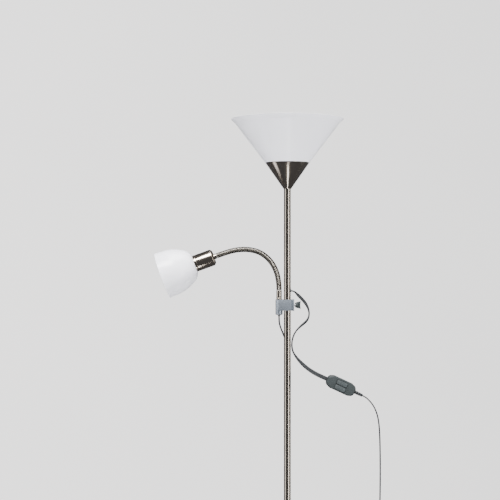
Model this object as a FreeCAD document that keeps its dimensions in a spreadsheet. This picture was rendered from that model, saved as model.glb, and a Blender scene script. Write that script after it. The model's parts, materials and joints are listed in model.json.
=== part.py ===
import FreeCAD, Part
import math
import os
import Sketcher

# Torchiere floor lamp with a reading light on a gooseneck.
# Millimetres, +Z up, +X to the right and +Y away from someone in front of the lamp.
# The origin is the centre of the base, on the floor.

# ---------------------------------------------------------------- driving dimensions
SIZES = {
    # weighted base
    "base_radius": 140,
    "base_skirt_gap": 1.5,
    "base_skirt_height": 10,
    "base_shoulder_inset": 8,
    "base_shoulder_height": 17,
    "base_crown_radius": 30,
    "base_height": 26,
    "base_skin": 1.2,
    "base_weight_gap": 0.3,
    "foot_pad_inset": 20,
    "foot_pad_height": 3,
    "base_recess_radius": 17,
    "base_recess_height": 11,
    "base_bolt_radius": 5,
    "base_bolt_head_across": 16,
    "base_bolt_head_height": 6.4,
    "base_bolt_grip": 13,
    "base_washer_radius": 14,
    "base_washer_thickness": 1.5,
    # pole of three tubes
    "pole_radius": 8,
    "pole_wall": 1,
    "tube_length": 538.3,
    "coupler_length": 44,
    "coupler_bore": 4.6,
    "plug_length": 20,
    "fit": 0.05,
    # cable holes in the upper tube
    "ribbon_hole_drop": 231.9,
    "ribbon_hole_turn": 0,
    "lead_hole_drop": 376.9,
    "grommet_wall": 1,
    "grommet_lip": 0.9,
    "cable_gap": 0.35,
    # uplight
    "cup_top_radius": 50.3,
    "cup_foot_radius": 8.7,
    "cup_height": 59.6,
    "cup_wall": 1,
    "bowl_height": 99,
    "bowl_lip_radius": 128.8,
    "bowl_lip_height": 9.5,
    "bowl_neck_radius": 118.5,
    "bowl_wall": 2,
    "nipple_radius": 5,
    "nipple_bore": 3.4,
    "nipple_length": 30,
    "nipple_nut_across": 13,
    "nipple_nut_height": 6,
    "holder_radius": 20,
    "holder_neck_radius": 8,
    "holder_neck_height": 8,
    "holder_cone_height": 7,
    "holder_skirt_radius": 17.6,
    "holder_skirt_height": 11,
    "holder_socket_radius": 13.4,
    "holder_socket_depth": 26,
    "skirt_gap": 0.3,
    "bowl_ring_radius": 27,
    "bowl_ring_height": 6,
    "bulb_cap_radius": 13,
    "bulb_cap_length": 26,
    "bulb_length": 108,
    "bulb_globe_radius": 30,
    "bulb_neck_radius": 14.5,
    "bulb_seat": 1,
    # clamp on the pole
    "clamp_height": 24.7,
    "clamp_drop": 277.6,
    "clamp_left": 22,
    "clamp_right": 11,
    "clamp_depth": 24,
    "clamp_chamfer": 2,
    "liner_wall": 1,
    "liner_ridge": 0.6,
    "liner_ridge_height": 4,
    "liner_slot": 7,
    "liner_window_start": 3.3,
    "liner_window_gap": 0.3,
    "plate_thickness": 4.3,
    "plate_overhang": 0.6,
    "neck_offset": 19,
    "boss_radius": 8.2,
    "boss_drop": 10,
    "boss_round": 2,
    "spigot_radius": 4,
    "spigot_length": 24,
    "spigot_seat": 18,
    "neck_nut_across": 10,
    "neck_nut_height": 4,
    "nut_room_radius": 6.2,
    "gland_radius": 3,
    "gland_drop": 2.4,
    "screw_radius": 3,
    "screw_gap": 2.5,
    "knob_root_height": 12.8,
    "knob_tip_height": 17.6,
    "knob_length": 12.8,
    "knob_thickness": 5,
    "knob_hub_radius": 5.6,
    "knob_hub_length": 6,
    "pad_radius": 2.6,
    "pad_thickness": 1.8,
    # gooseneck
    "neck_radius": 6.2,
    "neck_bore": 2.5,
    "neck_hub": 3.2,
    "neck_groove": 0.9,
    "neck_foot_length": 22,
    "section_length": 29,
    "ribs_per_section": 6,
    "neck_gap_slope": 0.121,
    # reading head
    "head_foot_length": 6,
    "housing_radius": 19,
    "housing_length": 47,
    "housing_chamfer": 4.5,
    "housing_wall": 1.2,
    "small_holder_radius": 14,
    "small_holder_skirt": 13,
    "small_holder_start": 8,
    "small_skirt_reach": 8,
    "small_socket_radius": 7.4,
    "small_socket_depth": 24,
    "small_ring_radius": 19.5,
    "small_ring_height": 5,
    "reading_shade_length": 79,
    "reading_shade_wall": 2,
    "reading_shade_back_radius": 21,
    "reading_shade_mid_radius": 38.5,
    "reading_shade_mid_depth": 15,
    "reading_shade_side_radius": 52.2,
    "reading_shade_side_depth": 55,
    "reading_shade_mouth_radius": 53.5,
    "small_cap_radius": 7,
    "small_cap_length": 24,
    "small_bulb_length": 78,
    "small_globe_radius": 22.5,
    "small_bulb_neck_radius": 9,
    # switch on the cable
    "switch_length": 69,
    "switch_width": 30,
    "switch_end_width": 22,
    "switch_depth": 19,
    "switch_split": 9,
    "switch_wall": 2,
    "switch_slope": 24.9,
    "switch_x": 122.75,
    "switch_y": 12,
    "switch_drop": 450.3,
    "rocker_length": 25,
    "rocker_width": 9.6,
    "rocker_spacing": 12,
    "rocker_rise": 1.6,
    "rocker_depth": 6,
    "rocker_gap": 0.75,
    "rocker_pin_radius": 1.2,
    "rocker_pin_reach": 0.35,
    "rocker_tilt": 5,
    "switch_screw_radius": 1.5,
    "switch_screw_offset": 26,
    # plug at the end of the mains lead
    "plug_body_width": 35,
    "plug_body_height": 13.6,
    "plug_body_length": 34,
    "plug_tail_width": 9,
    "plug_pin_radius": 2,
    "plug_pin_length": 19,
    "plug_pin_spacing": 19,
    "plug_x": -62,
    "plug_y": 246,
    "plug_turn": 186,
    # cords
    "sleeve_length": 20,
    "sleeve_root_radius": 4.4,
    "sleeve_tip_radius": 3.4,
    "reading_lead_diameter": 3.8,
    "ribbon_width": 9.5,
    "ribbon_thickness": 3.3,
    "mains_lead_diameter": 5.3,
    "inner_lead_radius": 2.1,
}

# Turn of each gooseneck section, from the foot to the head, in degrees.
NECK_TURNS = (11, 19, 22, 25, 17, 13, 3)

# Height of the pole's top that the routes are drawn for. A longer pole lifts them.
ROUTE_TOP = 1640.9

# Route of the flat cable, from the pole to the switch.
RIBBON_ROUTE = (
    (13.6, 0.4, 1408.6),
    (23.2, 7.4, 1399.4),
    (34.5, 14.0, 1388.5),
    (45.0, 17.5, 1375.6),
    (50.6, 18.0, 1361.2),
    (50.4, 17.0, 1348.0),
    (45.0, 15.5, 1338.0),
    (35.0, 13.0, 1330.0),
    (23.6, 10.6, 1320.0),
    (15.6, 9.0, 1308.6),
    (11.4, 8.6, 1295.6),
    (10.3, 8.6, 1282.0),
    (12.6, 9.0, 1268.6),
    (20.6, 9.8, 1255.4),
    (33.0, 10.6, 1241.4),
    (48.2, 11.4, 1228.0),
    (66.6, 12.0, 1216.6),
)

# Turn of the flat cable about its own line: share of its length, then degrees.
RIBBON_TWIST = (
    (0.0, 0),
    (0.04, 0),
    (0.11, 38),
    (0.17, 38),
    (0.28, 6),
    (0.36, 26),
    (0.50, 0),
    (0.62, 6),
    (0.80, 58),
    (0.94, 90),
    (1.0, 90),
)
RIBBON_SECTIONS = 64

# Route of the reading light's lead, from the gland to its hole in the pole.
LEAD_ROUTE_TOP = (
    (-19.0, 0.6, 1339.0),
    (-17.0, 2.0, 1328.0),
)
LEAD_JOIN = (-13.2, 6.4, 1318.6)
LEAD_ROUTE_FOOT = (
    (-9.4, 10.8, 1309.2),
    (-4.0, 18.6, 1296.0),
    (-1.2, 22.0, 1283.6),
    (-0.2, 20.6, 1271.4),
)

# Route of the mains lead, from its sleeve down to the floor and along it to the plug.
MAINS_ROUTE = (
    (184.0, 12.8, 1160.6),
    (198.0, 13.6, 1145.0),
    (207.6, 14.6, 1122.6),
    (212.0, 15.6, 1094.0),
    (213.6, 16.4, 1048.0),
    (214.2, 17.4, 990.0),
    (213.6, 18.2, 930.0),
    (212.4, 18.4, 866.0),
    (211.6, 18.0, 800.0),
    (211.8, 17.2, 734.0),
    (212.8, 16.6, 668.0),
    (213.8, 16.6, 602.0),
    (214.0, 17.2, 536.0),
    (213.4, 18.0, 470.0),
    (212.8, 18.4, 404.0),
    (213.2, 18.8, 338.0),
    (214.4, 19.8, 272.0),
    (216.0, 21.6, 206.0),
    (217.6, 24.6, 144.0),
    (219.0, 29.0, 88.0),
    (220.4, 38.0, 42.0),
    (221.6, 58.0, 10.0),
    (221.4, 88.0, 2.9),
    (218.0, 124.0, 2.9),
    (206.0, 160.0, 2.9),
    (184.0, 192.0, 2.9),
    (154.0, 216.0, 2.9),
    (118.0, 232.0, 2.9),
    (78.0, 241.0, 2.9),
    (40.0, 245.0, 3.4),
)

doc = FreeCAD.newDocument("floor_lamp")
sheet = doc.addObject("Spreadsheet::Sheet", "Sizes")
for row, (word, number) in enumerate(SIZES.items(), start=1):
    sheet.set(f"A{row}", word)
    sheet.set(f"B{row}", str(number))
    sheet.setAlias(f"B{row}", word)
doc.recompute()


def size(word):
    """The number in the cell of that name."""
    return float(sheet.get(word))


def split_terms(text):
    """Terms of a sum such as 'base_height - 2*base_skin', each as (sign, factor, word or None)."""
    terms = []
    sign = 1
    for piece in text.split():
        if piece == "+":
            sign = 1
        elif piece == "-":
            sign = -1
        else:
            factor, _, word = piece.rpartition("*")
            if word in SIZES:
                terms.append((sign, float(factor or 1), word))
            else:
                terms.append((sign, float(word), None))
            sign = 1
    return terms


def amount(text):
    """What a sum of named sizes comes to."""
    return sum(s * f * (size(word) if word else 1) for s, f, word in split_terms(text))


def formula(text):
    """The same sum as an expression on the sheet's cells."""
    parts = []
    for sign, factor, word in split_terms(text):
        parts.append("+" if sign > 0 else "-")
        parts.append(f"{factor}*Sizes.{word}" if word else f"{factor}")
    return " ".join(parts)


# Heights that follow from the sizes, each a sum of cells.
TUBE_1_TOP = "base_height + tube_length"
TUBE_2_TOP = "base_height + 2*tube_length"
POLE_TOP = "base_height + 3*tube_length"
BOWL_FOOT = f"{POLE_TOP} + cup_height"
CUP_FLOOR = f"{POLE_TOP} + cup_wall"
HOLDER_FOOT = f"{CUP_FLOOR} + nipple_nut_height"
CLAMP_FOOT = f"{POLE_TOP} - clamp_drop"
CLAMP_TOP = f"{CLAMP_FOOT} + clamp_height"
NECK_START = f"{CLAMP_TOP} + neck_foot_length"
RIBBON_HOLE = f"{POLE_TOP} - ribbon_hole_drop"
LEAD_HOLE = f"{POLE_TOP} - lead_hole_drop"

NODES = {}


def keep(name, obj):
    """Name the object as a piece of the lamp."""
    obj.Label = name
    NODES[name] = obj
    return obj


# ---------------------------------------------------------------- ways of making a piece
def plane_of(body, role):
    return next(f for f in body.Origin.OriginFeatures if f.Role == role)


def pin_point(sketch, geo, pos, across, up, tag):
    """Tie one sketch point to sums of named sizes, measured from the origin."""
    for axis, kind, text, line in (("x", "DistanceX", across, -2), ("y", "DistanceY", up, -1)):
        value = amount(text)
        if abs(value) < 1e-9:
            sketch.addConstraint(Sketcher.Constraint("PointOnObject", geo, pos, line))
            continue
        index = sketch.addConstraint(Sketcher.Constraint(kind, -1, 1, geo, pos, value))
        name = f"{tag}{axis}"
        sketch.renameConstraint(index, name)
        sketch.setExpression(f"Constraints.{name}", formula(text))


def outline(body, name, corners, plane):
    """A closed sketch. Each corner is (across, up); a third item 'via' puts it midway on an arc."""
    sketch = body.newObject("Sketcher::SketchObject", name)
    sketch.AttachmentSupport = [(plane_of(body, plane), "")]
    sketch.MapMode = "FlatFace"
    points = [FreeCAD.Vector(amount(c[0]), amount(c[1]), 0) for c in corners]
    ends = [i for i, c in enumerate(corners) if len(c) == 2]
    first_points = []
    for order, start in enumerate(ends):
        stop = ends[(order + 1) % len(ends)]
        middle = start + 1 if (start + 1) % len(corners) != stop else None
        if middle is None:
            geo = sketch.addGeometry(Part.LineSegment(points[start], points[stop]))
            head = 1
        else:
            arc = Part.Arc(points[start], points[middle], points[stop])
            geo = sketch.addGeometry(arc)
            head = 1 if arc.StartPoint.distanceToPoint(points[start]) < 1e-6 else 2
            first = sketch.getPoint(geo, 1)
            head = 1 if first.distanceToPoint(points[start]) < 1e-6 else 2
            dot = sketch.addGeometry(Part.Point(points[middle]), True)
            pin_point(sketch, dot, 1, corners[middle][0], corners[middle][1], f"m{middle}")
            sketch.addConstraint(Sketcher.Constraint("PointOnObject", dot, 1, geo))
        pin_point(sketch, geo, head, corners[start][0], corners[start][1], f"c{start}")
        first_points.append((geo, head))
    for order, (geo, head) in enumerate(first_points):
        following, start_pos = first_points[(order + 1) % len(first_points)]
        sketch.addConstraint(
            Sketcher.Constraint("Coincident", geo, 3 - head, following, start_pos)
        )
    return sketch


def turned(name, corners):
    """A piece turned about the Z axis from its half section."""
    body = doc.addObject("PartDesign::Body", name)
    sketch = outline(body, f"{name}_section", corners, "XZ_Plane")
    turn = body.newObject("PartDesign::Revolution", f"{name}_turn")
    turn.Profile = sketch
    turn.ReferenceAxis = (sketch, ["V_Axis"])
    turn.Angle = 360
    return keep(name, body)


def ring(name, outer, inner, foot, top):
    """A plain tube, collar or disc with a bore."""
    return turned(name, [(inner, foot), (outer, foot), (outer, top), (inner, top)])


def primitive(kind, name, sizes, base=("0", "0", "0"), rotation=None):
    """A Part primitive whose sizes and place are sums of cells."""
    solid = doc.addObject(kind, name)
    for key, text in sizes.items():
        solid.setExpression(key, formula(text))
    solid.Placement = FreeCAD.Placement(
        FreeCAD.Vector(*(amount(t) for t in base)),
        rotation or FreeCAD.Rotation(),
    )
    for axis, text in zip("xyz", base):
        solid.setExpression(f"Placement.Base.{axis}", formula(text))
    return solid


def cut(name, base, *tools):
    """The base less each tool in turn."""
    for number, tool in enumerate(tools):
        step = doc.addObject("Part::Cut", f"{name}_cut{number}")
        step.Base = base
        step.Tool = tool
        base = step
    return base


def joined(name, *solids):
    fuse = doc.addObject("Part::MultiFuse", name)
    fuse.Shapes = list(solids)
    fuse.Refine = True
    return fuse


def made(name, shape, placement=None):
    """A piece whose shape comes from Part's own functions."""
    piece = doc.addObject("Part::Feature", name)
    piece.Shape = shape
    if placement:
        piece.Placement = placement
    return keep(name, piece)


def hexagon(name, across, foot, height, bore):
    """A hexagon nut or bolt head about the Z axis."""
    prism = doc.addObject("Part::Prism", f"{name}_prism")
    prism.Polygon = 6
    prism.setExpression("Circumradius", f"Sizes.{across} / sqrt(3)")
    prism.setExpression("Height", formula(height))
    prism.Placement.Base.z = amount(foot)
    prism.setExpression("Placement.Base.z", formula(foot))
    if bore is None:
        return prism
    hole = primitive(
        "Part::Cylinder",
        f"{name}_bore",
        {"Radius": bore, "Height": f"{height} + 2"},
        ("0", "0", f"{foot} - 1"),
    )
    return cut(name, prism, hole)


# ---------------------------------------------------------------- base
def build_base():
    turned(
        "base_cover",
        [
            ("base_bolt_radius + fit", "base_height"),
            ("base_crown_radius", "base_height"),
            ("base_radius - base_shoulder_inset", "base_shoulder_height"),
            ("base_radius - 0.3*base_skirt_height + 0.6", "base_shoulder_height - 2", "via"),
            ("base_radius", "base_skirt_height"),
            ("base_radius", "base_skirt_gap"),
            ("base_radius - base_skin", "base_skirt_gap"),
            ("base_radius - base_skin", "base_skirt_height"),
            (
                "base_radius - 0.3*base_skirt_height + 0.6 - base_skin",
                "base_shoulder_height - 2 - base_skin",
                "via",
            ),
            ("base_radius - base_shoulder_inset - 0.5*base_skin", "base_shoulder_height - base_skin"),
            ("base_crown_radius", "base_height - base_skin"),
            ("base_bolt_radius + fit", "base_height - base_skin"),
        ],
    )
    under = "base_height - base_skin - base_weight_gap"
    shoulder = "base_shoulder_height - base_skin - base_weight_gap"
    turned(
        "base_weight",
        [
            ("base_bolt_radius + 2*fit", "base_recess_height"),
            ("base_recess_radius", "base_recess_height"),
            ("base_recess_radius", "foot_pad_height"),
            ("base_radius - base_shoulder_inset - 2*base_skin", "foot_pad_height"),
            ("base_radius - base_shoulder_inset - 2*base_skin", shoulder),
            ("base_crown_radius", under),
            ("base_bolt_radius + 2*fit", under),
        ],
    )
    turned(
        "base_foot_pad",
        [
            ("0", "0"),
            ("base_radius - foot_pad_inset", "0"),
            ("base_radius - foot_pad_inset", "foot_pad_height"),
            ("0", "foot_pad_height"),
        ],
    )
    washer_foot = "base_recess_height - base_washer_thickness"
    ring(
        "base_washer",
        "base_washer_radius",
        "base_bolt_radius + fit",
        washer_foot,
        "base_recess_height",
    )
    head = hexagon(
        "base_bolt_head",
        "base_bolt_head_across",
        f"{washer_foot} - base_bolt_head_height",
        "base_bolt_head_height",
        None,
    )
    shank = primitive(
        "Part::Cylinder",
        "base_bolt_shank",
        {
            "Radius": "base_bolt_radius",
            "Height": f"base_height + base_bolt_grip - {washer_foot}".replace(
                "- base_recess_height - base_washer_thickness",
                "- base_recess_height + base_washer_thickness",
            ),
        },
        ("0", "0", washer_foot),
    )
    keep("base_bolt", joined("base_bolt_solid", head, shank))


# ---------------------------------------------------------------- pole
def side_hole(name, radius, height, turn):
    """A round bar that points out of the pole to one side, turned from +X towards +Y."""
    bar = primitive(
        "Part::Cylinder",
        name,
        {"Radius": radius, "Height": "2*pole_radius"},
        ("0", "0", height),
    )
    swing = FreeCAD.Rotation(FreeCAD.Vector(0, 0, 1), turn)
    bar.Placement.Rotation = swing.multiply(FreeCAD.Rotation(FreeCAD.Vector(0, 1, 0), 90))
    return bar


def slot_bar(name, extra, turn):
    """A flat-oval bar for the ribbon cable's slot, pointing out of the pole at that turn."""
    width = size("ribbon_width") + 2 * extra
    height = size("ribbon_thickness") + 2 * extra
    half = (width - height) / 2
    top = Part.LineSegment(
        FreeCAD.Vector(0, -half, height / 2), FreeCAD.Vector(0, half, height / 2)
    )
    foot = Part.LineSegment(
        FreeCAD.Vector(0, half, -height / 2), FreeCAD.Vector(0, -half, -height / 2)
    )
    right = Part.Arc(
        FreeCAD.Vector(0, half, height / 2),
        FreeCAD.Vector(0, half + height / 2, 0),
        FreeCAD.Vector(0, half, -height / 2),
    )
    left = Part.Arc(
        FreeCAD.Vector(0, -half, -height / 2),
        FreeCAD.Vector(0, -half - height / 2, 0),
        FreeCAD.Vector(0, -half, height / 2),
    )
    face = Part.Face(Part.Wire([top.toShape(), right.toShape(), foot.toShape(), left.toShape()]))
    bar = doc.addObject("Part::Feature", name)
    bar.Shape = face.extrude(FreeCAD.Vector(2 * size("pole_radius"), 0, 0))
    bar.Placement = FreeCAD.Placement(
        FreeCAD.Vector(0, 0, amount(RIBBON_HOLE)),
        FreeCAD.Rotation(FreeCAD.Vector(0, 0, 1), turn),
    )
    return bar


def build_pole():
    bore = "pole_radius - pole_wall"
    ring("pole_lower", "pole_radius", bore, "base_height", TUBE_1_TOP)
    ring("pole_middle", "pole_radius", bore, TUBE_1_TOP, TUBE_2_TOP)
    tube = ring("pole_upper_tube", "pole_radius", bore, TUBE_2_TOP, POLE_TOP)
    del NODES["pole_upper_tube"]
    wall = size("grommet_wall")
    turn = size("ribbon_hole_turn")
    slot = slot_bar("ribbon_slot", wall, turn)
    lead_radius = "0.5*reading_lead_diameter + grommet_wall"
    hole = side_hole("lead_hole", lead_radius, LEAD_HOLE, 90)
    keep("pole_upper", cut("pole_upper", tube, slot, hole))

    core = f"{bore} - fit"
    for name, middle in (("pole_coupler_low", TUBE_1_TOP), ("pole_coupler_high", TUBE_2_TOP)):
        ring(
            name,
            core,
            "coupler_bore",
            f"{middle} - 0.5*coupler_length",
            f"{middle} + 0.5*coupler_length",
        )
    ring(
        "pole_foot_plug",
        core,
        "base_bolt_radius + fit",
        "base_height",
        "base_height + plug_length",
    )
    ring("pole_top_plug", core, "nipple_radius + fit", f"{POLE_TOP} - plug_length", POLE_TOP)

    # Grommets: a lip outside the pole, a lining through its wall, and the cable's own hole.
    spread = size("grommet_lip")
    outer = size("pole_radius")
    inner = outer - size("pole_wall")
    shell = Part.makeCylinder(outer + spread, 60, FreeCAD.Vector(0, 0, -30)).cut(
        Part.makeCylinder(outer, 60, FreeCAD.Vector(0, 0, -30))
    )
    lining = Part.makeCylinder(outer, 60, FreeCAD.Vector(0, 0, -30)).cut(
        Part.makeCylinder(inner, 60, FreeCAD.Vector(0, 0, -30))
    )

    def grommet(name, lip_bar, wall_bar, hole_bar, height):
        lift = FreeCAD.Vector(0, 0, height)
        around = shell.translated(lift)
        within = lining.translated(lift)
        solid = around.common(lip_bar).fuse(within.common(wall_bar)).cut(hole_bar)
        made(name, solid.removeSplitter())

    def plain_slot(extra):
        bar = slot_bar("slot_tool", extra, turn)
        shape = bar.Shape.copy()
        doc.removeObject(bar.Name)
        return shape

    def plain_bar(radius):
        return Part.makeCylinder(
            radius,
            2 * outer,
            FreeCAD.Vector(0, 0, amount(LEAD_HOLE)),
            FreeCAD.Vector(0, 1, 0),
        )

    fit = size("fit")
    grommet(
        "ribbon_grommet",
        plain_slot(wall + spread),
        plain_slot(wall - fit),
        plain_slot(size("cable_gap")),
        amount(RIBBON_HOLE),
    )
    lead = size("reading_lead_diameter") / 2
    grommet(
        "lead_grommet",
        plain_bar(lead + wall + spread),
        plain_bar(lead + wall - fit),
        plain_bar(lead + size("cable_gap")),
        amount(LEAD_HOLE),
    )


# ---------------------------------------------------------------- uplight
def build_uplight():
    lip_foot = f"{BOWL_FOOT} + bowl_height - bowl_lip_height"
    rim = f"{BOWL_FOOT} + bowl_height"
    turned(
        "shade_cup",
        [
            ("nipple_radius + fit", POLE_TOP),
            ("cup_foot_radius", POLE_TOP),
            ("cup_top_radius", BOWL_FOOT),
            ("cup_top_radius - 1.22*cup_wall", BOWL_FOOT),
            ("cup_foot_radius - 0.5*cup_wall", CUP_FLOOR),
            ("nipple_radius + fit", CUP_FLOOR),
        ],
    )
    turned(
        "bowl_shade",
        [
            ("holder_skirt_radius + skirt_gap", BOWL_FOOT),
            ("cup_top_radius", BOWL_FOOT),
            ("bowl_neck_radius", lip_foot),
            ("bowl_lip_radius", rim),
            ("bowl_lip_radius - bowl_wall", rim),
            ("bowl_neck_radius - 1.25*bowl_wall", f"{lip_foot} + 0.4*bowl_wall"),
            ("cup_top_radius - 0.4*bowl_wall", f"{BOWL_FOOT} + bowl_wall"),
            ("holder_skirt_radius + skirt_gap", f"{BOWL_FOOT} + bowl_wall"),
        ],
    )
    nipple_foot = f"{CUP_FLOOR} - 0.5*nipple_length - 3"
    ring(
        "holder_nipple",
        "nipple_radius",
        "nipple_bore",
        nipple_foot,
        f"{nipple_foot} + nipple_length",
    )
    keep(
        "holder_nut",
        hexagon(
            "holder_nut_solid",
            "nipple_nut_across",
            CUP_FLOOR,
            "nipple_nut_height",
            "nipple_radius + fit",
        ),
    )
    neck_top = f"{HOLDER_FOOT} + holder_neck_height"
    body_foot = f"{neck_top} + holder_cone_height"
    skirt_top = f"{BOWL_FOOT} + holder_skirt_height"
    socket_foot = f"{skirt_top} - holder_socket_depth"
    turned(
        "bulb_holder",
        [
            ("nipple_radius + fit", HOLDER_FOOT),
            ("holder_neck_radius", HOLDER_FOOT),
            ("holder_neck_radius", neck_top),
            ("holder_radius", body_foot),
            ("holder_radius", BOWL_FOOT),
            ("holder_skirt_radius", BOWL_FOOT),
            ("holder_skirt_radius", skirt_top),
            ("holder_socket_radius", skirt_top),
            ("holder_socket_radius", socket_foot),
            ("nipple_bore", socket_foot),
            ("nipple_bore", neck_top),
            ("nipple_radius + fit", neck_top),
        ],
    )
    ring(
        "bowl_ring",
        "bowl_ring_radius",
        "holder_skirt_radius + fit",
        f"{BOWL_FOOT} + bowl_wall",
        f"{BOWL_FOOT} + bowl_wall + bowl_ring_height",
    )
    cap_foot = f"{socket_foot} + bulb_seat"
    build_bulb(
        "bulb_cap",
        "bulb_glass",
        cap_foot,
        "bulb_cap_radius",
        "bulb_cap_length",
        "bulb_length",
        "bulb_globe_radius",
        "bulb_neck_radius",
    )


def build_bulb(cap_name, glass_name, foot, cap_radius, cap_length, length, globe, neck):
    """A bulb on the Z axis: its screw cap, and the glass that stands on it."""
    turned(
        cap_name,
        [
            ("0", foot),
            (f"0.35*{cap_radius}", foot),
            (f"0.55*{cap_radius}", f"{foot} + 0.12*{cap_length}"),
            (cap_radius, f"{foot} + 0.25*{cap_length}"),
            (cap_radius, f"{foot} + {cap_length}"),
            ("0", f"{foot} + {cap_length}"),
        ],
    )
    neck_foot = f"{foot} + {cap_length}"
    top = f"{foot} + {length}"
    turned(
        glass_name,
        [
            ("0", neck_foot),
            (f"0.94*{neck}", neck_foot),
            (f"0.8*{globe}", f"{top} - 1.6*{globe}"),
            (f"0.96*{globe}", f"{top} - 0.72*{globe}", "via"),
            (f"0.07584*{globe}", f"{top} - 0.00288*{globe}"),
            ("0", f"{top} - 0.00288*{globe}"),
        ],
    )


# ---------------------------------------------------------------- clamp
def build_clamp():
    boss_foot = f"{CLAMP_FOOT} - boss_drop"
    block = primitive(
        "Part::Box",
        "clamp_block",
        {
            "Length": "clamp_left + clamp_right",
            "Width": "clamp_depth",
            "Height": "clamp_height",
        },
        ("- clamp_left", "- 0.5*clamp_depth", CLAMP_FOOT),
    )
    doc.recompute()
    upright = [
        number
        for number, edge in enumerate(block.Shape.Edges, start=1)
        if abs(edge.tangentAt(edge.FirstParameter).z) > 0.99
    ]
    eased = doc.addObject("Part::Chamfer", "clamp_block_eased")
    eased.Base = block
    eased.Edges = [(n, size("clamp_chamfer"), size("clamp_chamfer")) for n in upright]
    boss = primitive(
        "Part::Cylinder",
        "clamp_boss",
        {"Radius": "boss_radius", "Height": "clamp_height + boss_drop"},
        ("- neck_offset", "0", boss_foot),
    )
    doc.recompute()
    rim = [
        number
        for number, edge in enumerate(boss.Shape.Edges, start=1)
        if edge.BoundBox.ZMax < amount(boss_foot) + 0.01
    ]
    rounded = doc.addObject("Part::Fillet", "clamp_boss_rounded")
    rounded.Base = boss
    rounded.Edges = [(n, size("boss_round"), size("boss_round")) for n in rim]
    solid = joined("clamp_solid", eased, rounded)
    hole = f"pole_radius + fit + liner_wall + fit"
    pole_hole = primitive(
        "Part::Cylinder",
        "clamp_pole_hole",
        {"Radius": hole, "Height": "clamp_height + 2"},
        ("0", "0", f"{CLAMP_FOOT} - 1"),
    )
    middle = f"{CLAMP_FOOT} + 0.5*clamp_height"
    groove = primitive(
        "Part::Cylinder",
        "clamp_groove",
        {
            "Radius": f"{hole} + liner_ridge",
            "Height": "liner_ridge_height + 2*fit",
        },
        ("0", "0", f"{middle} - 0.5*liner_ridge_height - fit"),
    )
    spigot_hole = primitive(
        "Part::Cylinder",
        "clamp_spigot_hole",
        {"Radius": "spigot_radius + fit", "Height": "spigot_seat + 1"},
        ("- neck_offset", "0", f"{CLAMP_TOP} - spigot_seat"),
    )
    nut_room = primitive(
        "Part::Cylinder",
        "clamp_nut_room",
        {
            "Radius": "nut_room_radius",
            "Height": "clamp_height + boss_drop - spigot_seat + 1",
        },
        ("- neck_offset", "0", f"{boss_foot} - 1"),
    )
    quarter = FreeCAD.Rotation(FreeCAD.Vector(0, 1, 0), 90)
    screw_hole = primitive(
        "Part::Cylinder",
        "clamp_screw_hole",
        {"Radius": "screw_radius + 2*fit", "Height": "clamp_right + 1"},
        ("0", "0", middle),
        quarter,
    )
    keep(
        "clamp_body",
        cut("clamp_body", solid, pole_hole, groove, spigot_hole, nut_room, screw_hole),
    )

    # Liner: a split sleeve with a ridge that holds it in the clamp. A window lets the pad swing.
    inside = "pole_radius + fit"
    outside = "pole_radius + fit + liner_wall"
    sleeve = turned(
        "liner_sleeve",
        [
            (inside, CLAMP_FOOT),
            (outside, CLAMP_FOOT),
            (outside, f"{middle} - 0.5*liner_ridge_height"),
            (f"{outside} + liner_ridge", f"{middle} - 0.5*liner_ridge_height"),
            (f"{outside} + liner_ridge", f"{middle} + 0.5*liner_ridge_height"),
            (outside, f"{middle} + 0.5*liner_ridge_height"),
            (outside, CLAMP_TOP),
            (inside, CLAMP_TOP),
        ],
    )
    del NODES["liner_sleeve"]
    slot = primitive(
        "Part::Box",
        "liner_slot_tool",
        {"Length": "2*pole_radius", "Width": "liner_slot", "Height": "clamp_height + 2"},
        ("0", "- 0.5*liner_slot", f"{CLAMP_FOOT} - 1"),
    )
    window = primitive(
        "Part::Box",
        "liner_window_tool",
        {
            "Length": "2*pole_radius",
            "Width": "4*pole_radius",
            "Height": "2*pad_radius + 2*liner_window_gap",
        },
        ("liner_window_start", "- 2*pole_radius", f"{middle} - pad_radius - liner_window_gap"),
    )
    keep("clamp_liner", cut("clamp_liner", sleeve, slot, window))

    # Flange plate on the open side, which holds the screw's thread.
    plate = primitive(
        "Part::Box",
        "plate_block",
        {
            "Length": "plate_thickness",
            "Width": "clamp_depth",
            "Height": "clamp_height + 2*plate_overhang",
        },
        ("clamp_right", "- 0.5*clamp_depth", f"{CLAMP_FOOT} - plate_overhang"),
    )
    plate_hole = primitive(
        "Part::Cylinder",
        "plate_hole",
        {"Radius": "screw_radius + fit", "Height": "plate_thickness + 2"},
        ("clamp_right - 1", "0", middle),
        quarter,
    )
    keep("clamp_plate", cut("clamp_plate", plate, plate_hole))

    # Pad between the screw's tip and the pole, then the screw and its winged knob.
    pad = primitive(
        "Part::Cylinder",
        "clamp_pad",
        {"Radius": "pad_radius", "Height": "pad_thickness"},
        ("pole_radius + fit", "0", middle),
        quarter,
    )
    keep("clamp_pad", pad)
    tip = "pole_radius + 2*fit + pad_thickness"
    knob_foot = "clamp_right + plate_thickness + screw_gap"
    screw = primitive(
        "Part::Cylinder",
        "clamp_screw",
        {
            "Radius": "screw_radius",
            "Height": "clamp_right + plate_thickness + screw_gap + knob_hub_length"
            " - pole_radius - 2*fit - pad_thickness",
        },
        (tip, "0", middle),
        quarter,
    )
    keep("clamp_screw", screw)
    build_knob(amount(knob_foot), amount(middle))

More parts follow.
